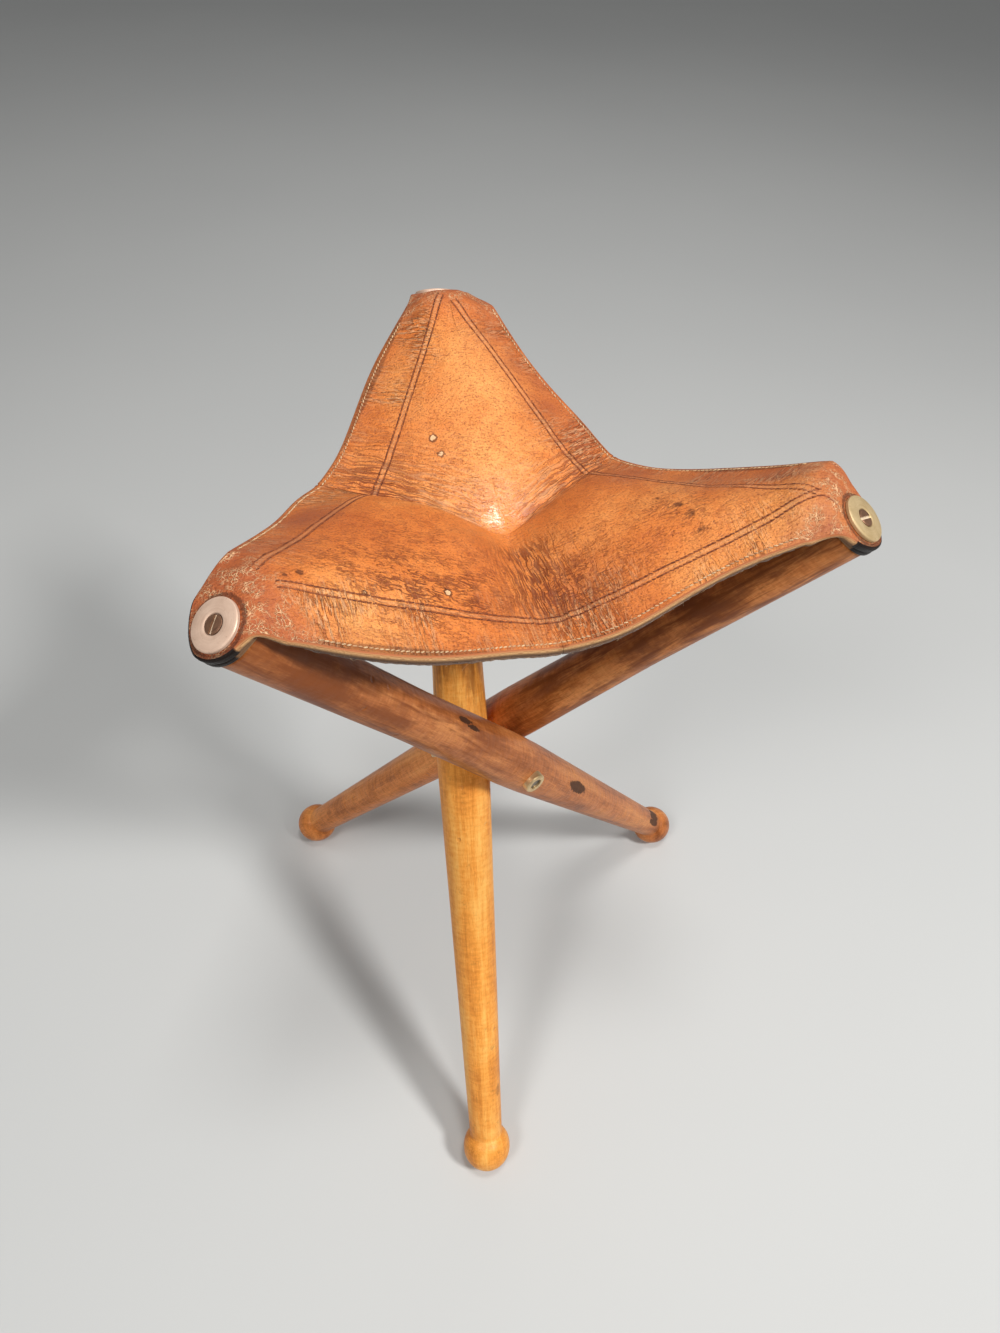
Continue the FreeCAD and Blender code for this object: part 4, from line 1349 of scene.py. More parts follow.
@dataclass
class SeatLobe:
    """One third of the seat: its hide, edge bands, stitching, loose fibres and corner patch."""

    letter: str
    order: int
    sizes: SeatSizes
    surface: LobeSurface
    finishes: LeatherFinishes
    seat_rows: int = 120
    half_columns: int = 56
    tongue_step: float = 1.1
    tip_turn: float = 84.0
    tip_rows: int = 22
    hinge_start: float = 132.0
    hinge_stop: float = 47.0
    stitch_pitch: float = 2.0
    stitch_fill: float = 0.45
    stitch_slant: float = 0.32
    slant_spread: float = 0.1
    stitch_lift: float = 0.12
    lift_spread: float = 0.05
    thread_radius: float = 0.34
    fibre_inset: float = 0.6
    fibre_pitch: float = 2.4
    fibre_shy: float = 12.0
    fibre_share: float = 0.55
    fibre_radius: float = 0.13
    long_share: float = 0.1
    long_factor: float = 3.6
    patch_start: float = 3.0
    patch_columns: int = 31
    texture_step: float = 400.0
    rim_start: float = 3.0
    corner_start: float = 17.0
    corner_reach: float = 20.0
    ring_gap: float = 1.2
    ring_width: float = 1.3
    no_seam: float = 90.0

    def build(self) -> list[bpy.types.Object]:
        """Builds all pieces of the lobe.

        Returns:
            The pieces, the hide first.
        """
        hide = self.build_hide()
        bands = [self.build_band(side) for side in (1, -1)]
        outer, inner = [self.sizes.stitch_inset], [0.0, self.sizes.seam_gap]
        stitches = [self.build_stitches("edge_stitches", self.finishes.pale_thread, outer, False),
                    self.build_stitches("inner_stitches", self.finishes.dark_thread, inner, True)]
        fibres = self.build_fibres()
        patch = self.build_patch()
        for piece in [hide, *bands, *stitches, fibres]:
            self.hang(piece)
        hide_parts("seat_hide")
        self.declare()
        return [hide, *bands, *stitches, fibres, patch]

    def hang(self, piece: bpy.types.Object) -> None:
        """Bakes a piece's placement into its mesh; the hinge between the leg's corner and the seat is worked
        out but not used.
        """
        level = self.surface.top * UP
        start = (self.surface.along * self.hinge_start + level) * MM
        stop = (self.surface.along * self.hinge_stop + level) * MM
        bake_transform(piece)

    def declare(self) -> None:
        rows, columns = self.rows(), self.columns()
        grid = self.grid(rows, columns)

    def rows(self) -> Array:
        """Row places from the seat's middle to the tongue's tip."""
        surface = self.surface
        seat = np.linspace(0, surface.bend_row, self.seat_rows + 1)
        straight = np.arange(surface.bend_row + self.tongue_step, surface.axis_row, self.tongue_step)
        turns = np.radians(np.linspace(0, self.tip_turn, self.tip_rows))
        tip = surface.axis_row + self.sizes.tongue_radius * np.sin(turns)
        return np.concatenate([seat, straight, tip])

    def columns(self) -> Array:
        """Column places from -1 at the right edge to 1 at the left, closer towards the edges."""
        share = np.linspace(-1, 1, 2 * self.half_columns + 1)
        size = np.abs(share)
        return np.sign(share) * (0.7 * size + 0.3 * (1 - (1 - size) ** 2))

    def rim_share(self, rows: Array, columns: Array) -> Array:
        """How much of the rounded rim stands out at each grid point: none where the lobes meet."""
        left, right = (ease((rows - self.surface.edge_start(side)) / self.rim_start) for side in (1, -1))
        return np.where(columns[None, :] > 0, left[:, None], right[:, None])

    def across(self, rows: Array, columns: Array) -> Array:
        """Distances across the lobe of each grid point, short of the rim."""
        share = self.rim_share(rows, columns) * self.sizes.rim
        left, right = (self.surface.half_width(side, rows)[:, None] for side in (1, -1))
        width = np.where(columns[None, :] > 0, left, right)
        return columns[None, :] * np.maximum(width - share, 0)

    def grid(self, rows: Array, columns: Array) -> Array:
        """Points of the upper side at each row and column."""
        across = self.across(rows, columns)
        return self.surface.at(np.broadcast_to(rows[:, None], across.shape), across)

    def build_hide(self) -> bpy.types.Object:
        """Builds the hide as a closed slab.

        Returns:
            The hide of this lobe.
        """
        surface = self.surface
        rows, columns = self.rows(), self.columns()
        across = self.across(rows, columns)
        places = np.broadcast_to(rows[:, None], across.shape)
        top = surface.at(places, across)
        normals = surface.normals(places, across)
        for side, column in ((1, -1), (-1, 0)):
            cut = rows < surface.edge_start(side)
            square = -math.sin(VALLEY_ANGLE) * surface.along + side * math.cos(VALLEY_ANGLE) * surface.left
            lying = normals[cut, column]
            normals[cut, column] = unit(lying - (lying @ square)[:, None] * square)
        normals[0] = UP
        made = slab(top, normals, self.sizes.hide, self.sizes.rim, self.rim_share(rows, columns))
        stored = self.stored(places, across)
        vectors = {name: values.reshape(-1, 3)[made.source] for name, values in stored.items()}
        aside = np.clip(np.abs(across) / 8.0, 0, 1)
        tongue = ease((places - surface.axis_row + 6) / 10)
        vectors["layer"] = np.stack([made.depth, aside.ravel()[made.source], tongue.ravel()[made.source]], -1)
        materials = [self.finishes.grain, self.finishes.rim, self.finishes.flesh]
        piece = new_object(f"hide_{self.letter}", made.points, made.faces, materials, made.face_slots,
                           vectors)
        return piece

    def stored(self, rows: Array, across: Array) -> dict[str, Array]:
        """What the finishes need to know at each grid point.

        Args:
            rows, across: The grid's places.

        Returns:
            Vectors by name: flat place, place by the edge, place by the valley, wear and shade.
        """
        surface = self.surface
        x, y = surface.plan(np.minimum(rows, surface.bend_row), across)
        beyond = np.maximum(rows - surface.bend_row, 0)[..., None]
        world = x[..., None] * surface.along + y[..., None] * surface.left + beyond * surface.out
        best = None
        for side in (1, -1):
            run, inset = surface.edge_place(side, x, y)
            seam = surface.seam_place(side, x, y)
            _, end, inward = surface.seams[side][0]
            ahead = np.array([inward[1], -inward[0]])
            ahead = ahead if ahead[0] > 0 else -ahead
            seam = np.where((x - end[0]) * ahead[0] + (y - end[1]) * ahead[1] > 0, self.no_seam, seam)
            tongue = surface.half_width(side, rows) - side * across
            inset = np.where(rows > surface.bend_row, tongue, inset)
            place = np.stack([run + side * self.texture_step, inset, seam], -1)
            best = place if best is None else np.where(best[..., 1:2] < place[..., 1:2], best, place)
        valley = np.stack(surface.valley_place(x, y), -1)
        corner = ease((rows - surface.bend_row + self.corner_start) / self.corner_reach)
        ring = np.hypot(rows - surface.axis_row, across) - self.sizes.disc_radius - self.ring_gap
        # The pale share is partly rubbing and partly painted light
        stain, scuff, pale, red, worn = (self.blot(kind, world) for kind in Wear)
        scuff = np.maximum(scuff, 0.5 * np.exp(-(ring / self.ring_width) ** 2))
        return {"flat": world, "edge_run": best, "valley_run": valley,
                "wear": np.stack([corner, stain, scuff], -1), "shade": np.stack([pale, red, worn], -1)}

    def blot(self, kind: Wear, world: Array) -> Array:
        """How strongly one kind of mark shows at plan points, from 0 to 1."""
        total = np.zeros(world.shape[:-1])
        for mark in SEAT_MARKS[kind]:
            off = np.linalg.norm(world[..., :2] - np.array(mark.place), axis=-1)
            total = np.maximum(total, mark.strength * np.exp(-(off / mark.reach) ** 2))
        return total

    def build_band(self, side: int) -> bpy.types.Object:
        """Builds half of an edge band: the strip of lining under one of the lobe's edges.

        Args:
            side: 1 for the left edge, -1 for the right.

        Returns:
            The half band, from the valley to near the bend.
        """
        surface, sizes = self.surface, self.sizes
        edge = surface.sides[side].edge
        rows = np.linspace(surface.edge_start(side), surface.bend_row - 4.0, 90)
        thick = sizes.band
        outer = [(0.9, thick), (0.3, 0.85 * thick), (0.0, 0.5 * thick), (0.3, 0.12 * thick)]
        upper = [(share, 0.0) for share in np.linspace(0.06, 1.0, 9)]
        lower = [(share, thick) for share in np.linspace(1.0, 0.12, 9)]
        fray = 0.7 * lattice_noise(rows * 0.35, rows * 0 + side, EDGE_SEED[edge]) + 0.1
        sections = []
        flat = []
        for place, fall in outer + upper + lower:
            is_rim = (place, fall) in outer
            reach = np.full_like(rows, place) if is_rim else np.full_like(rows, place * sizes.band_width)
            reach = reach + 0.7 - np.where(reach < 2.0, fray, 0.0)
            x, y = surface.plan_inset(side, rows, reach, not is_rim)
            drop = sizes.hide + sizes.layer_gap + fall
            sections.append(surface.over(x, y) - surface.over_normals(x, y) * drop)
            flat.append(np.stack([rows, reach, np.full_like(rows, fall * 7 + self.order * 90)], -1))
        points = np.stack(sections, 1).reshape(-1, 3)
        stored = {"flat": np.stack(flat, 1).reshape(-1, 3)}
        faces = tube_faces(len(rows), len(sections))
        piece = new_object(f"band_{edge.value}_{self.letter}", points, faces, [self.finishes.lining],
                           stored=stored)
        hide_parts(f"edge_band_{edge.value}")
        return piece

    def build_stitches(self, name: str, finish: bpy.types.Material, insets: Sequence[float],
                       inner: bool) -> bpy.types.Object:
        """Builds rows of stitches along both edges of the lobe.

        Args:
            name: What the rows are called.
            finish: The thread's material.
            insets: How far in from the edge, or from the inner seam, each row lies.
            inner: Whether the rows follow the inner seam.

        Returns:
            One mesh of all the stitches.
        """
        chance = np.random.default_rng(SEED + self.order * 17 + inner)
        centres, runs, ups = [], [], []
        for side in (1, -1):
            for inset in insets:
                if inner:
                    points, lines, normals = self.surface.seam_path(side, inset, self.stitch_pitch)
                else:
                    points, lines, normals = self.surface.edge_path(side, inset, self.stitch_pitch, 2.0)
                slant = self.stitch_slant + self.slant_spread * chance.standard_normal(len(points))
                lines = unit(lines + side * slant[:, None] * np.cross(normals, lines))
                lift = self.lift_spread * chance.standard_normal(len(points))
                lift = (0.0 if inner else self.stitch_lift) + lift
                centres.append(points + normals * lift[:, None])
                runs.append(lines)
                ups.append(normals)
        centres, runs, ups = (np.concatenate(parts) for parts in (centres, runs, ups))
        half = self.stitch_fill * self.stitch_pitch
        beads = self.bead_mesh(centres, runs, ups, half, self.thread_radius, chance)
        piece = new_object(f"{name}_{self.letter}", *beads[:2], [finish], None, beads[2], 80.0)
        return piece

    def bead_mesh(self, centres: Array, runs: Array, ups: Array, half: float, thick: float,
                  chance: np.random.Generator) -> tuple[Array, list[tuple[int, ...]], dict[str, Array]]:
        """Stitches as small rounded beads, one at each place.

        Args:
            centres, runs, ups: Where each lies, which way it runs and which way is up.
            half: Half its length.
            thick: Its radius.
            chance: Random numbers for each stitch's shade.

        Returns:
            Points, faces and what is stored at the points.
        """
        stations = np.array([(-1.0, 0.3), (-0.72, 0.85), (-0.25, 1.0), (0.25, 1.0), (0.72, 0.85), (1.0, 0.3)])
        turns = np.linspace(0, 2 * math.pi, 7)[:-1]
        asides = np.cross(ups, runs)
        wide, tall = np.cos(turns) * thick, np.sin(turns) * thick * 0.8
        shape = (runs[:, None, None] * (stations[:, 0] * half)[None, :, None, None]
                 + asides[:, None, None] * (stations[:, 1:2] * wide)[None, :, :, None]
                 + ups[:, None, None] * (stations[:, 1:2] * tall)[None, :, :, None])
        points = (centres[:, None, None] + shape).reshape(-1, 3)
        one = tube_faces(len(stations), len(turns))
        size = len(stations) * len(turns)
        faces = [tuple(i + size * k for i in face) for k in range(len(centres)) for face in one]
        shade = np.repeat(chance.random(len(centres)), size)
        lay = np.tile(np.repeat(stations[:, 0], len(turns)), len(centres))
        turn = np.tile(turns, len(centres) * len(stations))
        stored = {"twist": np.stack([lay * 1.2, turn * 0.5, shade], -1), "flat": points}
        return points, faces, stored

    def build_fibres(self) -> bpy.types.Object:
        """Builds the wispy hairs that stand out of the lining under the edges.

        Returns:
            One mesh of thin curved fibres.
        """
        chance = np.random.default_rng(SEED + 100 + self.order)
        points, faces = [], []
        steps = np.linspace(0, 1, 6)
        for side in (1, -1):
            feet, runs, ups = self.surface.edge_path(side, self.fibre_inset, self.fibre_pitch, self.fibre_shy)
            for foot, run, up in zip(feet, runs, ups):
                if chance.random() > self.fibre_share:
                    continue
                out = np.cross(run, up) * side
                length = chance.uniform(0.8, 2.6)
                length = length * (self.long_factor if chance.random() < self.long_share else 1.0)
                aim = unit(out * chance.uniform(0.3, 1.0) - up * chance.uniform(0.1, 1.1)
                           + run * chance.normal(0, 0.7))
                curl = unit(chance.normal(size=3)) * length * 0.5
                root = foot - up * (self.sizes.hide + chance.uniform(0.5, 2.4))
                path = root + steps[:, None] * aim * length + (steps ** 2)[:, None] * curl
                first = unit(np.cross(aim, up))
                second = np.cross(aim, first)
                base = sum(len(item) for item in points)
                ring = [first * math.cos(a) + second * math.sin(a) for a in (0, 2.1, 4.2)]
                thin = (self.fibre_radius * (1 - 0.7 * steps))[:, None, None]
                points.append((path[:, None] + np.array(ring)[None] * thin).reshape(-1, 3))
                faces += [tuple(i + base for i in face) for face in tube_faces(len(steps), 3)]
        vertices = np.concatenate(points)
        piece = new_object(f"fibres_{self.letter}", vertices, faces, [self.finishes.fuzz],
                           stored={"flat": vertices})
        return piece

    def build_patch(self) -> bpy.types.Object:
        """Builds the second layer of leather between the tongue and the leg's end.

        Returns:
            The patch, which rides on the leg.
        """
        surface, sizes = self.surface, self.sizes
        rows = self.rows()
        rows = rows[rows > surface.bend_row + self.patch_start]
        radius = sizes.tongue_radius - sizes.rim - 0.3
        past = np.clip((rows - surface.axis_row) / sizes.tongue_radius, 0, 1)
        width = radius * np.sqrt(1 - past ** 2)
        across = np.linspace(-1, 1, self.patch_columns)[None, :] * width[:, None]
        places = np.broadcast_to(rows[:, None], across.shape)
        normals = surface.normals(places, across)
        top = surface.at(places, across) - normals * (sizes.hide + sizes.layer_gap)
        made = slab(top, normals, sizes.patch, sizes.rim, np.ones_like(across))
        flat = np.stack([places, across, np.full_like(across, 50.0)], -1).reshape(-1, 3)[made.source]
        tip = ease((places - surface.axis_row + 2) / 8).ravel()[made.source]
        # The patch's rim counts as deep in the rim finish, so the painted gap shade darkens it
        layer = np.stack([0.62 + 0.38 * made.depth, made.depth * 0, tip], -1)
        piece = new_object(f"patch_{self.letter}", made.points, made.faces,
                           [self.finishes.lining, self.finishes.rim, self.finishes.lining], made.face_slots,
                           {"flat": flat, "layer": layer})
        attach(piece, f"leg_unit_{self.letter}")
        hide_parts(f"corner_patch_{self.letter}")
        return piece


@dataclass
class TurnedLeg:
    """One turned leg, with its ball foot, bolt bore and nut seat."""

    stand: Stand
    finish: bpy.types.Material
    foot_reach: float = 287.0
    top_reach: float = 245.0
    ball_radius: float = 15.5
    ball_shoulder: float = 14.0
    ball_power: float = 2.4
    neck_radius: float = 10.7
    barrel_radius: float = 15.75
    barrel_half: float = 14.0
    upper_radius: float = 13.0
    upper_station: float = 120.0
    top_radius: float = 12.5
    top_round: float = 1.2
    bore_radius: float = 3.57
    nut_seat_radius: float = 7.0
    nut_seat_depth: float = 3.2
    pilot_radius: float = 2.3
    pilot_depth: float = 32.0
    turns: int = 96
    bore_turns: int = 48

    def radius(self, heights: Array) -> Array:
        """The leg's radius at heights above the bolt.

        Args:
            heights: Distances up the leg from the bolt.

        Returns:
            The radii.
        """
        stations = [-self.foot_reach, -self.barrel_half, self.barrel_half, self.upper_station, self.top_reach]
        shank = np.interp(heights, stations, [self.neck_radius - 0.2, self.barrel_radius, self.barrel_radius,
                                              self.upper_radius, self.top_radius])
        over = heights + self.foot_reach
        rise = np.clip(over / self.ball_shoulder, 0, 1)
        fall = np.clip(-over / self.ball_radius, 0, 1)
        shoulder = (1 - rise ** self.ball_power) ** (1 / self.ball_power)
        bulb = np.where(over > 0, shoulder, np.sqrt(1 - fall ** 2)) * self.ball_radius
        soft = 0.35
        joined = soft * np.logaddexp(bulb / soft, np.where(over > 0, shank, 0.0) / soft)
        radii = np.where(over > 0, joined, bulb)
        rounding = np.clip((heights - self.top_reach + self.top_round) / self.top_round, 0, 1)
        return radii - self.top_round * (1 - np.sqrt(np.maximum(1 - rounding ** 2, 0)))

    def build(self) -> bpy.types.Object:
        """Turns the leg, bores it and places it.

        Returns:
            The leg, which rides on its body.
        """
        letter = self.stand.letter
        low = -self.foot_reach - self.ball_radius
        ball = self.ball_radius * np.sin(np.radians(np.linspace(-89, 0, 30))) - self.foot_reach
        shoulder = np.linspace(-self.foot_reach + 0.5, -self.foot_reach + self.ball_shoulder + 6, 44)
        shaft = np.arange(shoulder[-1] + 2.0, self.top_reach - 2.0, 3.0)
        end = np.linspace(self.top_reach - 1.3, self.top_reach, 8)
        heights = np.concatenate([[low], ball, shoulder, shaft, end])
        radii = self.radius(heights)
        radii[0] = 0.4
        smoothed = np.convolve(radii, np.ones(3) / 3, mode="same")
        middle = (heights > -200) & (heights < 200)
        radii = np.where(middle, smoothed, radii)
        angles = np.linspace(0, 2 * math.pi, self.turns + 1)[:-1]
        wobble = 1 + 0.006 * lattice_noise(heights[:, None] / 60 + angles * 0, np.cos(angles)[None] * 1.3 + 7,
                                           SEED + ord(letter))
        ring = np.stack([np.cos(angles), np.sin(angles)], -1)
        local = np.concatenate([(radii[:, None] * wobble)[..., None] * ring[None],
                                np.broadcast_to(heights[:, None, None], (len(heights), self.turns, 1))], -1)
        faces = tube_faces(len(heights), self.turns)
        piece = new_object(f"turned_leg_{letter}", local.reshape(-1, 3), faces, [self.finish])
        self.bore(piece)
        self.place(piece)
        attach(piece, f"leg_unit_{letter}")
        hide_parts(f"leg_{letter}")
        return piece

    def bore(self, piece: bpy.types.Object) -> None:
        """Cuts the bolt bore, the nut's seat and the screw's pilot hole."""
        reach = self.barrel_radius + 6.0
        floor = self.barrel_radius - self.nut_seat_depth
        cuts = [(self.bore_radius, -reach, reach, "X"), (self.nut_seat_radius, floor, reach, "X"),
                (self.pilot_radius, self.top_reach - self.pilot_depth, self.top_reach + 4.0, "Z")]
        for radius, low, high, axis in cuts:
            points = turned([(radius, low), (radius, high)], self.bore_turns)
            if axis == "X":
                points = points[:, [2, 0, 1]]
            cut_from(piece, points, tube_faces(2, self.bore_turns))

    def place(self, piece: bpy.types.Object) -> None:
        """Stores the grain's own coordinates, stands the leg up and wears its foot flat."""
        mesh = piece.data
        local = np.zeros(len(mesh.vertices) * 3)
        mesh.vertices.foreach_get("co", local)
        local = local.reshape(-1, 3) / MM
        stand = self.stand
        world = stand.pivot + local @ np.stack([stand.arm, stand.inward, stand.up])
        world[:, 2] = np.maximum(world[:, 2], 0.0)
        mesh.vertices.foreach_set("co", (world * MM).ravel())
        # Share towards the leg's upper end, for its darkening that is partly grime and partly painted shade
        # under the seat
        grimed_and_shaded = ease((local[:, 2] + 20) / 110)
        store(mesh, {"grain": local, "grimed_and_shaded": np.stack([grimed_and_shaded, grimed_and_shaded, grimed_and_shaded], -1)})
        mend(piece, 40.0)


def cut_from(piece: bpy.types.Object, points: Array, faces: Sequence[Sequence[int]]) -> None:
    """Cuts a closed shape out of a piece.

    Args:
        piece: What is cut.
        points: The cutter's vertices, in millimetres.
        faces: The cutter's faces.
    """
    cutter = new_object("cutter", points, faces, [])
    step = piece.modifiers.new("cut", "BOOLEAN")
    step.operation = "DIFFERENCE"
    step.solver = "EXACT"
    step.object = cutter
    bpy.context.view_layer.update()
    held = piece.evaluated_get(bpy.context.evaluated_depsgraph_get())
    cut = bpy.data.meshes.new_from_object(held)
    piece.modifiers.clear()
    old = piece.data
    cut.name = old.name
    piece.data = cut
    bpy.data.meshes.remove(old)
    bpy.data.objects.remove(cutter)


@dataclass
class DiscScrew:
    """The slotted screw in the middle of an end disc."""

    stand: Stand
    finish: TurnedMetal
    slot_finish: TurnedMetal
    slot_angle: float
    seat_height: float = 245.0 + 8.05
    head_radius: float = 3.85
    dome: float = 0.45
    sink: float = 1.25
    shank_radius: float = 2.2
    shank: float = 14.0
    slot_width: float = 1.25
    slot_depth: float = 0.85
    turns: int = 48

    def build(self) -> bpy.types.Object:
        """Turns the screw, cuts its slot and drives it home.

        Returns:
            The screw, which rides on the leg.
        """
        letter = self.stand.letter
        crown = np.radians(np.linspace(2, 90, 9))
        profile = [(self.head_radius * math.sin(a), self.dome * math.cos(a)) for a in crown]
        profile += [(self.head_radius, -0.2), (self.shank_radius, -self.sink),
                    (self.shank_radius, -self.shank)]
        placed = self.stand.matrix(self.seat_height)
        faces = tube_faces(len(profile), self.turns)
        piece = new_object(f"slotted_screw_{letter}", turned(profile, self.turns), faces,
                           [self.finish.material(placed)])
        half, depth = self.slot_width / 2, self.dome - self.slot_depth
        corners = np.array([(x, y, z) for x in (-6.0, 6.0) for y in (-half, half) for z in (depth, 3.0)])
        turn = math.radians(self.slot_angle)
        cosine, sine = math.cos(turn), math.sin(turn)
        spin = np.array([[cosine, sine, 0], [-sine, cosine, 0], [0, 0, 1]])
        box = [(0, 1, 3, 2), (4, 6, 7, 5), (0, 4, 5, 1), (2, 3, 7, 6), (0, 2, 6, 4), (1, 5, 7, 3)]
        cut_from(piece, corners @ spin, box)
        piece.data.materials.append(self.slot_finish.material(placed))
        for face in piece.data.polygons:
            in_slot = face.normal.z > 0.9 and abs(face.center.z / MM - depth) < 0.05
            face.material_index = 1 if in_slot else 0
        piece.data.transform(placed)
        mend(piece, 35.0)
        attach(piece, f"leg_unit_{letter}")
        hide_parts(f"disc_screw_{letter}")
        return piece


@dataclass
class EndDisc:
    """The turned disc that holds a tongue on the leg's end, dished for its screw."""

    stand: Stand
    finish: TurnedMetal
    back_height: float = 245.0 + 6.2
    radius: float = 10.4
    thickness: float = 2.0
    hole: float = 3.0
    seat_radius: float = 4.1
    seat_depth: float = 0.75
    turns: int = 96

    def build(self) -> bpy.types.Object:
        """Turns the disc and lays it on the tongue.

        Returns:
            The disc, which rides on the leg.
        """
        letter, thick = self.stand.letter, self.thickness
        profile = [(self.hole, 0.0), (self.hole, 0.4), (self.seat_radius - 0.1, thick - self.seat_depth),
                   (self.seat_radius + 0.15, thick - 0.18), (self.seat_radius + 0.5, thick - 0.03),
                   (self.seat_radius + 1.2, thick), (self.radius - 0.7, thick - 0.06),
                   (self.radius - 0.25, thick - 0.22), (self.radius, thick - 0.6), (self.radius, 0.35),
                   (self.radius - 0.3, 0.0)]
        number = np.arange(len(profile) * self.turns).reshape(len(profile), self.turns)
        after = np.roll(number, -1, 0)
        quads = np.stack([number, np.roll(number, -1, 1), np.roll(after, -1, 1), after], -1).reshape(-1, 4)
        placed = self.stand.matrix(self.back_height)
        piece = new_object(f"turned_disc_{letter}", turned(profile, self.turns), quads.tolist(),
                           [self.finish.material(placed)], sharp_angle=30.0)
        piece.data.transform(placed)
        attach(piece, f"leg_unit_{letter}")
        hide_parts(f"end_disc_{letter}")
        return piece


@dataclass
class Hardware:
    """The metal that keeps its CAD shape: bolt, washers and round nuts."""

    stands: dict[str, Stand]

    def dress(self) -> list[str]:
        """Gives each node its metal.

        Returns:
            The names of the nodes.
        """
        nut = TurnedMetal("nut_brass", tone(230, 202, 154), tone(186, 154, 106), tone(104, 80, 52),
                          roughness=0.36, metallic=0.75)
        steel = TurnedMetal("bolt_steel", tone(150, 146, 140), tone(104, 100, 96), tone(66, 54, 46),
                            roughness=0.42)
        named = []
        for letter, stand in self.stands.items():
            arm = self.arm_matrix(stand)
            self.coat(f"round_nut_{letter}", nut.material(arm))
            self.coat(f"nut_washer_{letter}", nut.material(arm))
            named += [f"round_nut_{letter}", f"nut_washer_{letter}"]
        self.coat("three_way_bolt", steel.material(self.arm_matrix(self.stands["a"])))
        return [*named, "three_way_bolt"]

    def arm_matrix(self, stand: Stand) -> Matrix:
        """A frame at the bolt with Z out along a leg's arm, in metres."""
        return framed(stand.foot, UP, stand.arm, stand.pivot * MM)

    def coat(self, node: str, material: bpy.types.Material) -> None:
        """Puts one material on all of a node's slots."""
        piece = frame["nodes"][node]
        piece.data.materials.clear()
        piece.data.materials.append(material)


@dataclass
class Studio:
    """Floor, light and camera."""

    camera_place: tuple[float, float, float] = (-54.99, -310.68, 677.07)
    yaw: float = 10.11
    pitch: float = 48.75
    roll: float = 3.18
    focal: float = 878.1
    image_height: float = 1333.0
    sensor: float = 36.0
    floor_size: float = 30.0

    def build(self) -> None:
        """Sets the whole studio up."""
        self.build_camera()
        self.build_floor()
        self.build_lights()
        bpy.context.scene.view_settings.view_transform = "Standard"

    def build_camera(self) -> None:
        """Stands the camera where the photograph was taken from."""
        yaw, pitch, roll = (math.radians(angle) for angle in (self.yaw, self.pitch, self.roll))
        ahead = np.array([math.sin(yaw) * math.cos(pitch), math.cos(yaw) * math.cos(pitch), -math.sin(pitch)])
        right = np.array([math.cos(yaw), -math.sin(yaw), 0.0])
        upward = np.cross(right, ahead)
        side = math.cos(roll) * right + math.sin(roll) * upward
        top = -math.sin(roll) * right + math.cos(roll) * upward
        data = bpy.data.cameras.new("photo_camera")
        data.sensor_width = self.sensor
        data.lens = self.focal / self.image_height * self.sensor
        data.clip_start = 0.01
        camera = bpy.data.objects.new("photo_camera", data)
        camera.matrix_world = framed(side, top, -ahead, np.array(self.camera_place) * MM)
        bpy.context.scene.collection.objects.link(camera)
        bpy.context.scene.camera = camera

    def build_floor(self) -> None:
        """Lays a plain pale floor."""
        half = self.floor_size / 2 / MM
        corners = np.array([(-half, -half, 0), (half, -half, 0), (half, half, 0), (-half, half, 0)], float)
        floor = new_object("floor", corners, [(0, 1, 2, 3)], [StudioFloor().material()])

    def build_lights(self) -> None:
        """Hangs a soft key at the front right, one overhead, a weak fill at the left and a pale sky."""
        self.hang_lamp("key", (1.05, -0.84, 1.7), 0.3, 30.0)
        self.hang_lamp("top", (0.14, -0.08, 1.9), 0.3, 9.0)
        self.hang_lamp("fill", (-0.92, -0.84, 1.7), 0.45, 11.0)
        self.hang_lamp("back", (0.2, 1.7, 1.5), 1.2, 2.5)
        world = bpy.data.worlds.new("studio_sky")
        world.use_nodes = True
        sky = world.node_tree.nodes["Background"]
        sky.inputs["Color"].default_value = tone(226, 228, 230)
        sky.inputs["Strength"].default_value = 0.24
        bpy.context.scene.world = world

    def hang_lamp(self, name: str, place: tuple[float, float, float], size: float, power: float) -> None:
        """Hangs one square lamp, aimed at the seat."""
        data = bpy.data.lights.new(name, "AREA")
        data.size = size
        data.energy = power
        lamp = bpy.data.objects.new(name, data)
        lamp.location = place
        aim = Vector((0.0, 0.0, 0.3)) - Vector(place)
        lamp.rotation_euler = aim.to_track_quat("-Z", "Y").to_euler()
        bpy.context.scene.collection.objects.link(lamp)


# Each lobe by its leg's letter: the edges on its left and right, with their shoulders
LOBE_SIDES = {
    "a": (EdgeSide(Edge.FRONT, 20.0, 2.0, 5.0, 0.45, gather=1.2, cap=4.0, taper=0.55),
          EdgeSide(Edge.LEFT, 27.0, 6.0, 0.0, 0.95, 3.4, gather=0.35, cap=3.5, taper=0.45)),
    "b": (EdgeSide(Edge.LEFT, 17.0, -2.0, 2.0, 0.3, gather=1.8, cap=4.0),
          EdgeSide(Edge.RIGHT, 29.0, 1.0, 2.0, 0.4, gather=1.5, cap=5.0)),
    "c": (EdgeSide(Edge.RIGHT, 21.0, -3.0, -1.5, 0.8, 2.8, gather=0.5, cap=0.0, taper=0.6),
          EdgeSide(Edge.FRONT, 25.0, 2.0, 3.0, 0.45, gather=1.6, cap=6.0, taper=0.6)),
}
# How far each lobe's leather stands up before it bends over the leg end
HUMPS = {"a": 1.5, "b": 4.5, "c": 5.0}
# How far each lobe swells up beside the dimple
BULGES = {"a": 5.5, "b": 0.0, "c": 4.0}
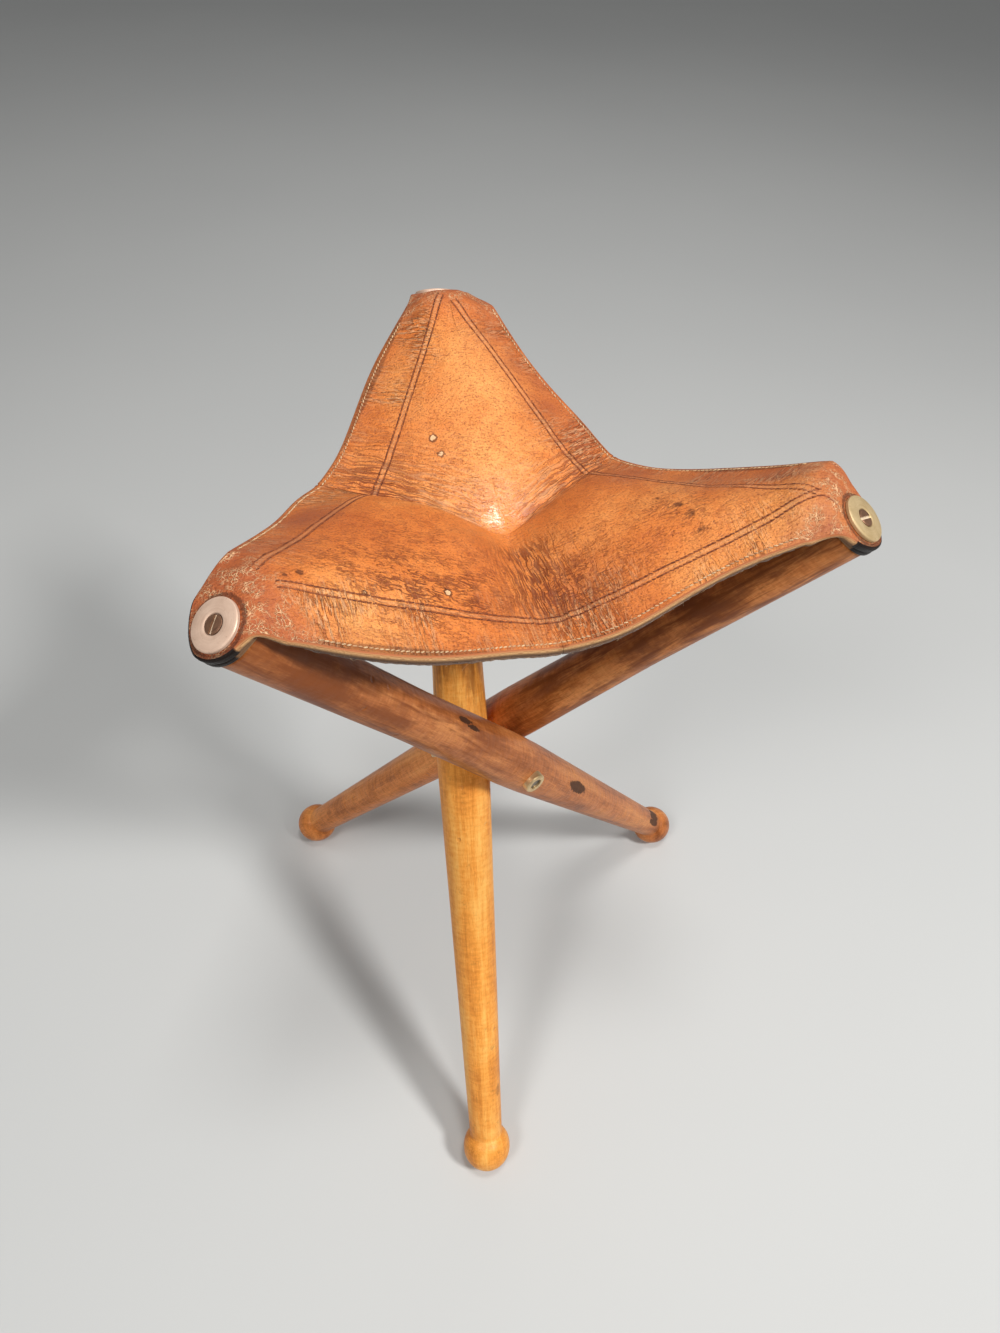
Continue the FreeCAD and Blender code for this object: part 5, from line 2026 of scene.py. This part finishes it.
# The wood of each leg, with its dark stains in the leg's own axes and how far they reach
LEG_FINISHES = {
    "a": VarnishedBeech("russet_beech", tone(132, 72, 34), tone(190, 114, 62), tone(220, 146, 84),
                        tone(134, 70, 28),
                        (((12.9, 7.1, -67.0), 3.8), ((9.2, 6.0, -256.0), 2.8), ((5.8, 9.3, -258.0), 3.2),
                         ((1.9, 10.8, -260.0), 2.8), ((6.9, 11.9, 91.0), 1.8), ((9.0, 11.0, 82.0), 1.5))),
    "b": VarnishedBeech("amber_beech", tone(200, 120, 46), tone(238, 156, 66), tone(252, 188, 98),
                        tone(88, 48, 22)),
    "c": VarnishedBeech("brown_beech", tone(150, 82, 34), tone(214, 130, 66), tone(238, 160, 90),
                        tone(128, 66, 24)),
}
# How far each screw's slot is turned from the bolt arm, in degrees
SLOT_ANGLES = {"a": -60.0, "b": 70.0, "c": -33.0}


def main() -> None:
    """Builds the stool's pieces in order."""
    sizes = SeatSizes()
    stands = {letter: Stand.of(letter, sizes.tilt) for letter in LOBE_SIDES}
    Studio().build()
    leather = LeatherFinishes.make()
    screw_metal = TurnedMetal("screw_brass", tone(158, 118, 90), tone(108, 74, 56), tone(62, 42, 32),
                              roughness=0.45, metallic=0.7)
    slot_metal = TurnedMetal("slot_polish", tone(236, 214, 184), tone(206, 176, 142), tone(150, 112, 80),
                             roughness=0.6, metallic=0.2)
    pale = TurnedMetal("pale_brass", tone(228, 196, 172), tone(204, 170, 146), tone(156, 122, 98),
                       roughness=0.5, metallic=0.35)
    golden = TurnedMetal("golden_brass", tone(230, 202, 154), tone(200, 170, 120), tone(140, 110, 72),
                         roughness=0.42, metallic=0.6)
    for stand in stands.values():
        leg = TurnedLeg(stand, LEG_FINISHES[stand.letter].material()).build()
        LOG.info("built %s", leg.name)
        screw = DiscScrew(stand, screw_metal, slot_metal, SLOT_ANGLES[stand.letter]).build()
        LOG.info("built %s", screw.name)
        disc = EndDisc(stand, golden if stand.letter == "c" else pale).build()
        LOG.info("built %s", disc.name)
    for node in Hardware(stands).dress():
        LOG.info("dressed %s", node)
    for order, (letter, (left, right)) in enumerate(LOBE_SIDES.items()):
        surface = LobeSurface(sizes, stands[letter], left, right, HUMPS[letter], BULGES[letter])
        for piece in SeatLobe(letter, order, sizes, surface, leather).build():
            LOG.info("built %s", piece.name)


if __name__ == "__main__":
    logging.basicConfig(level=logging.INFO, format="%(name)s: %(message)s")
    main()
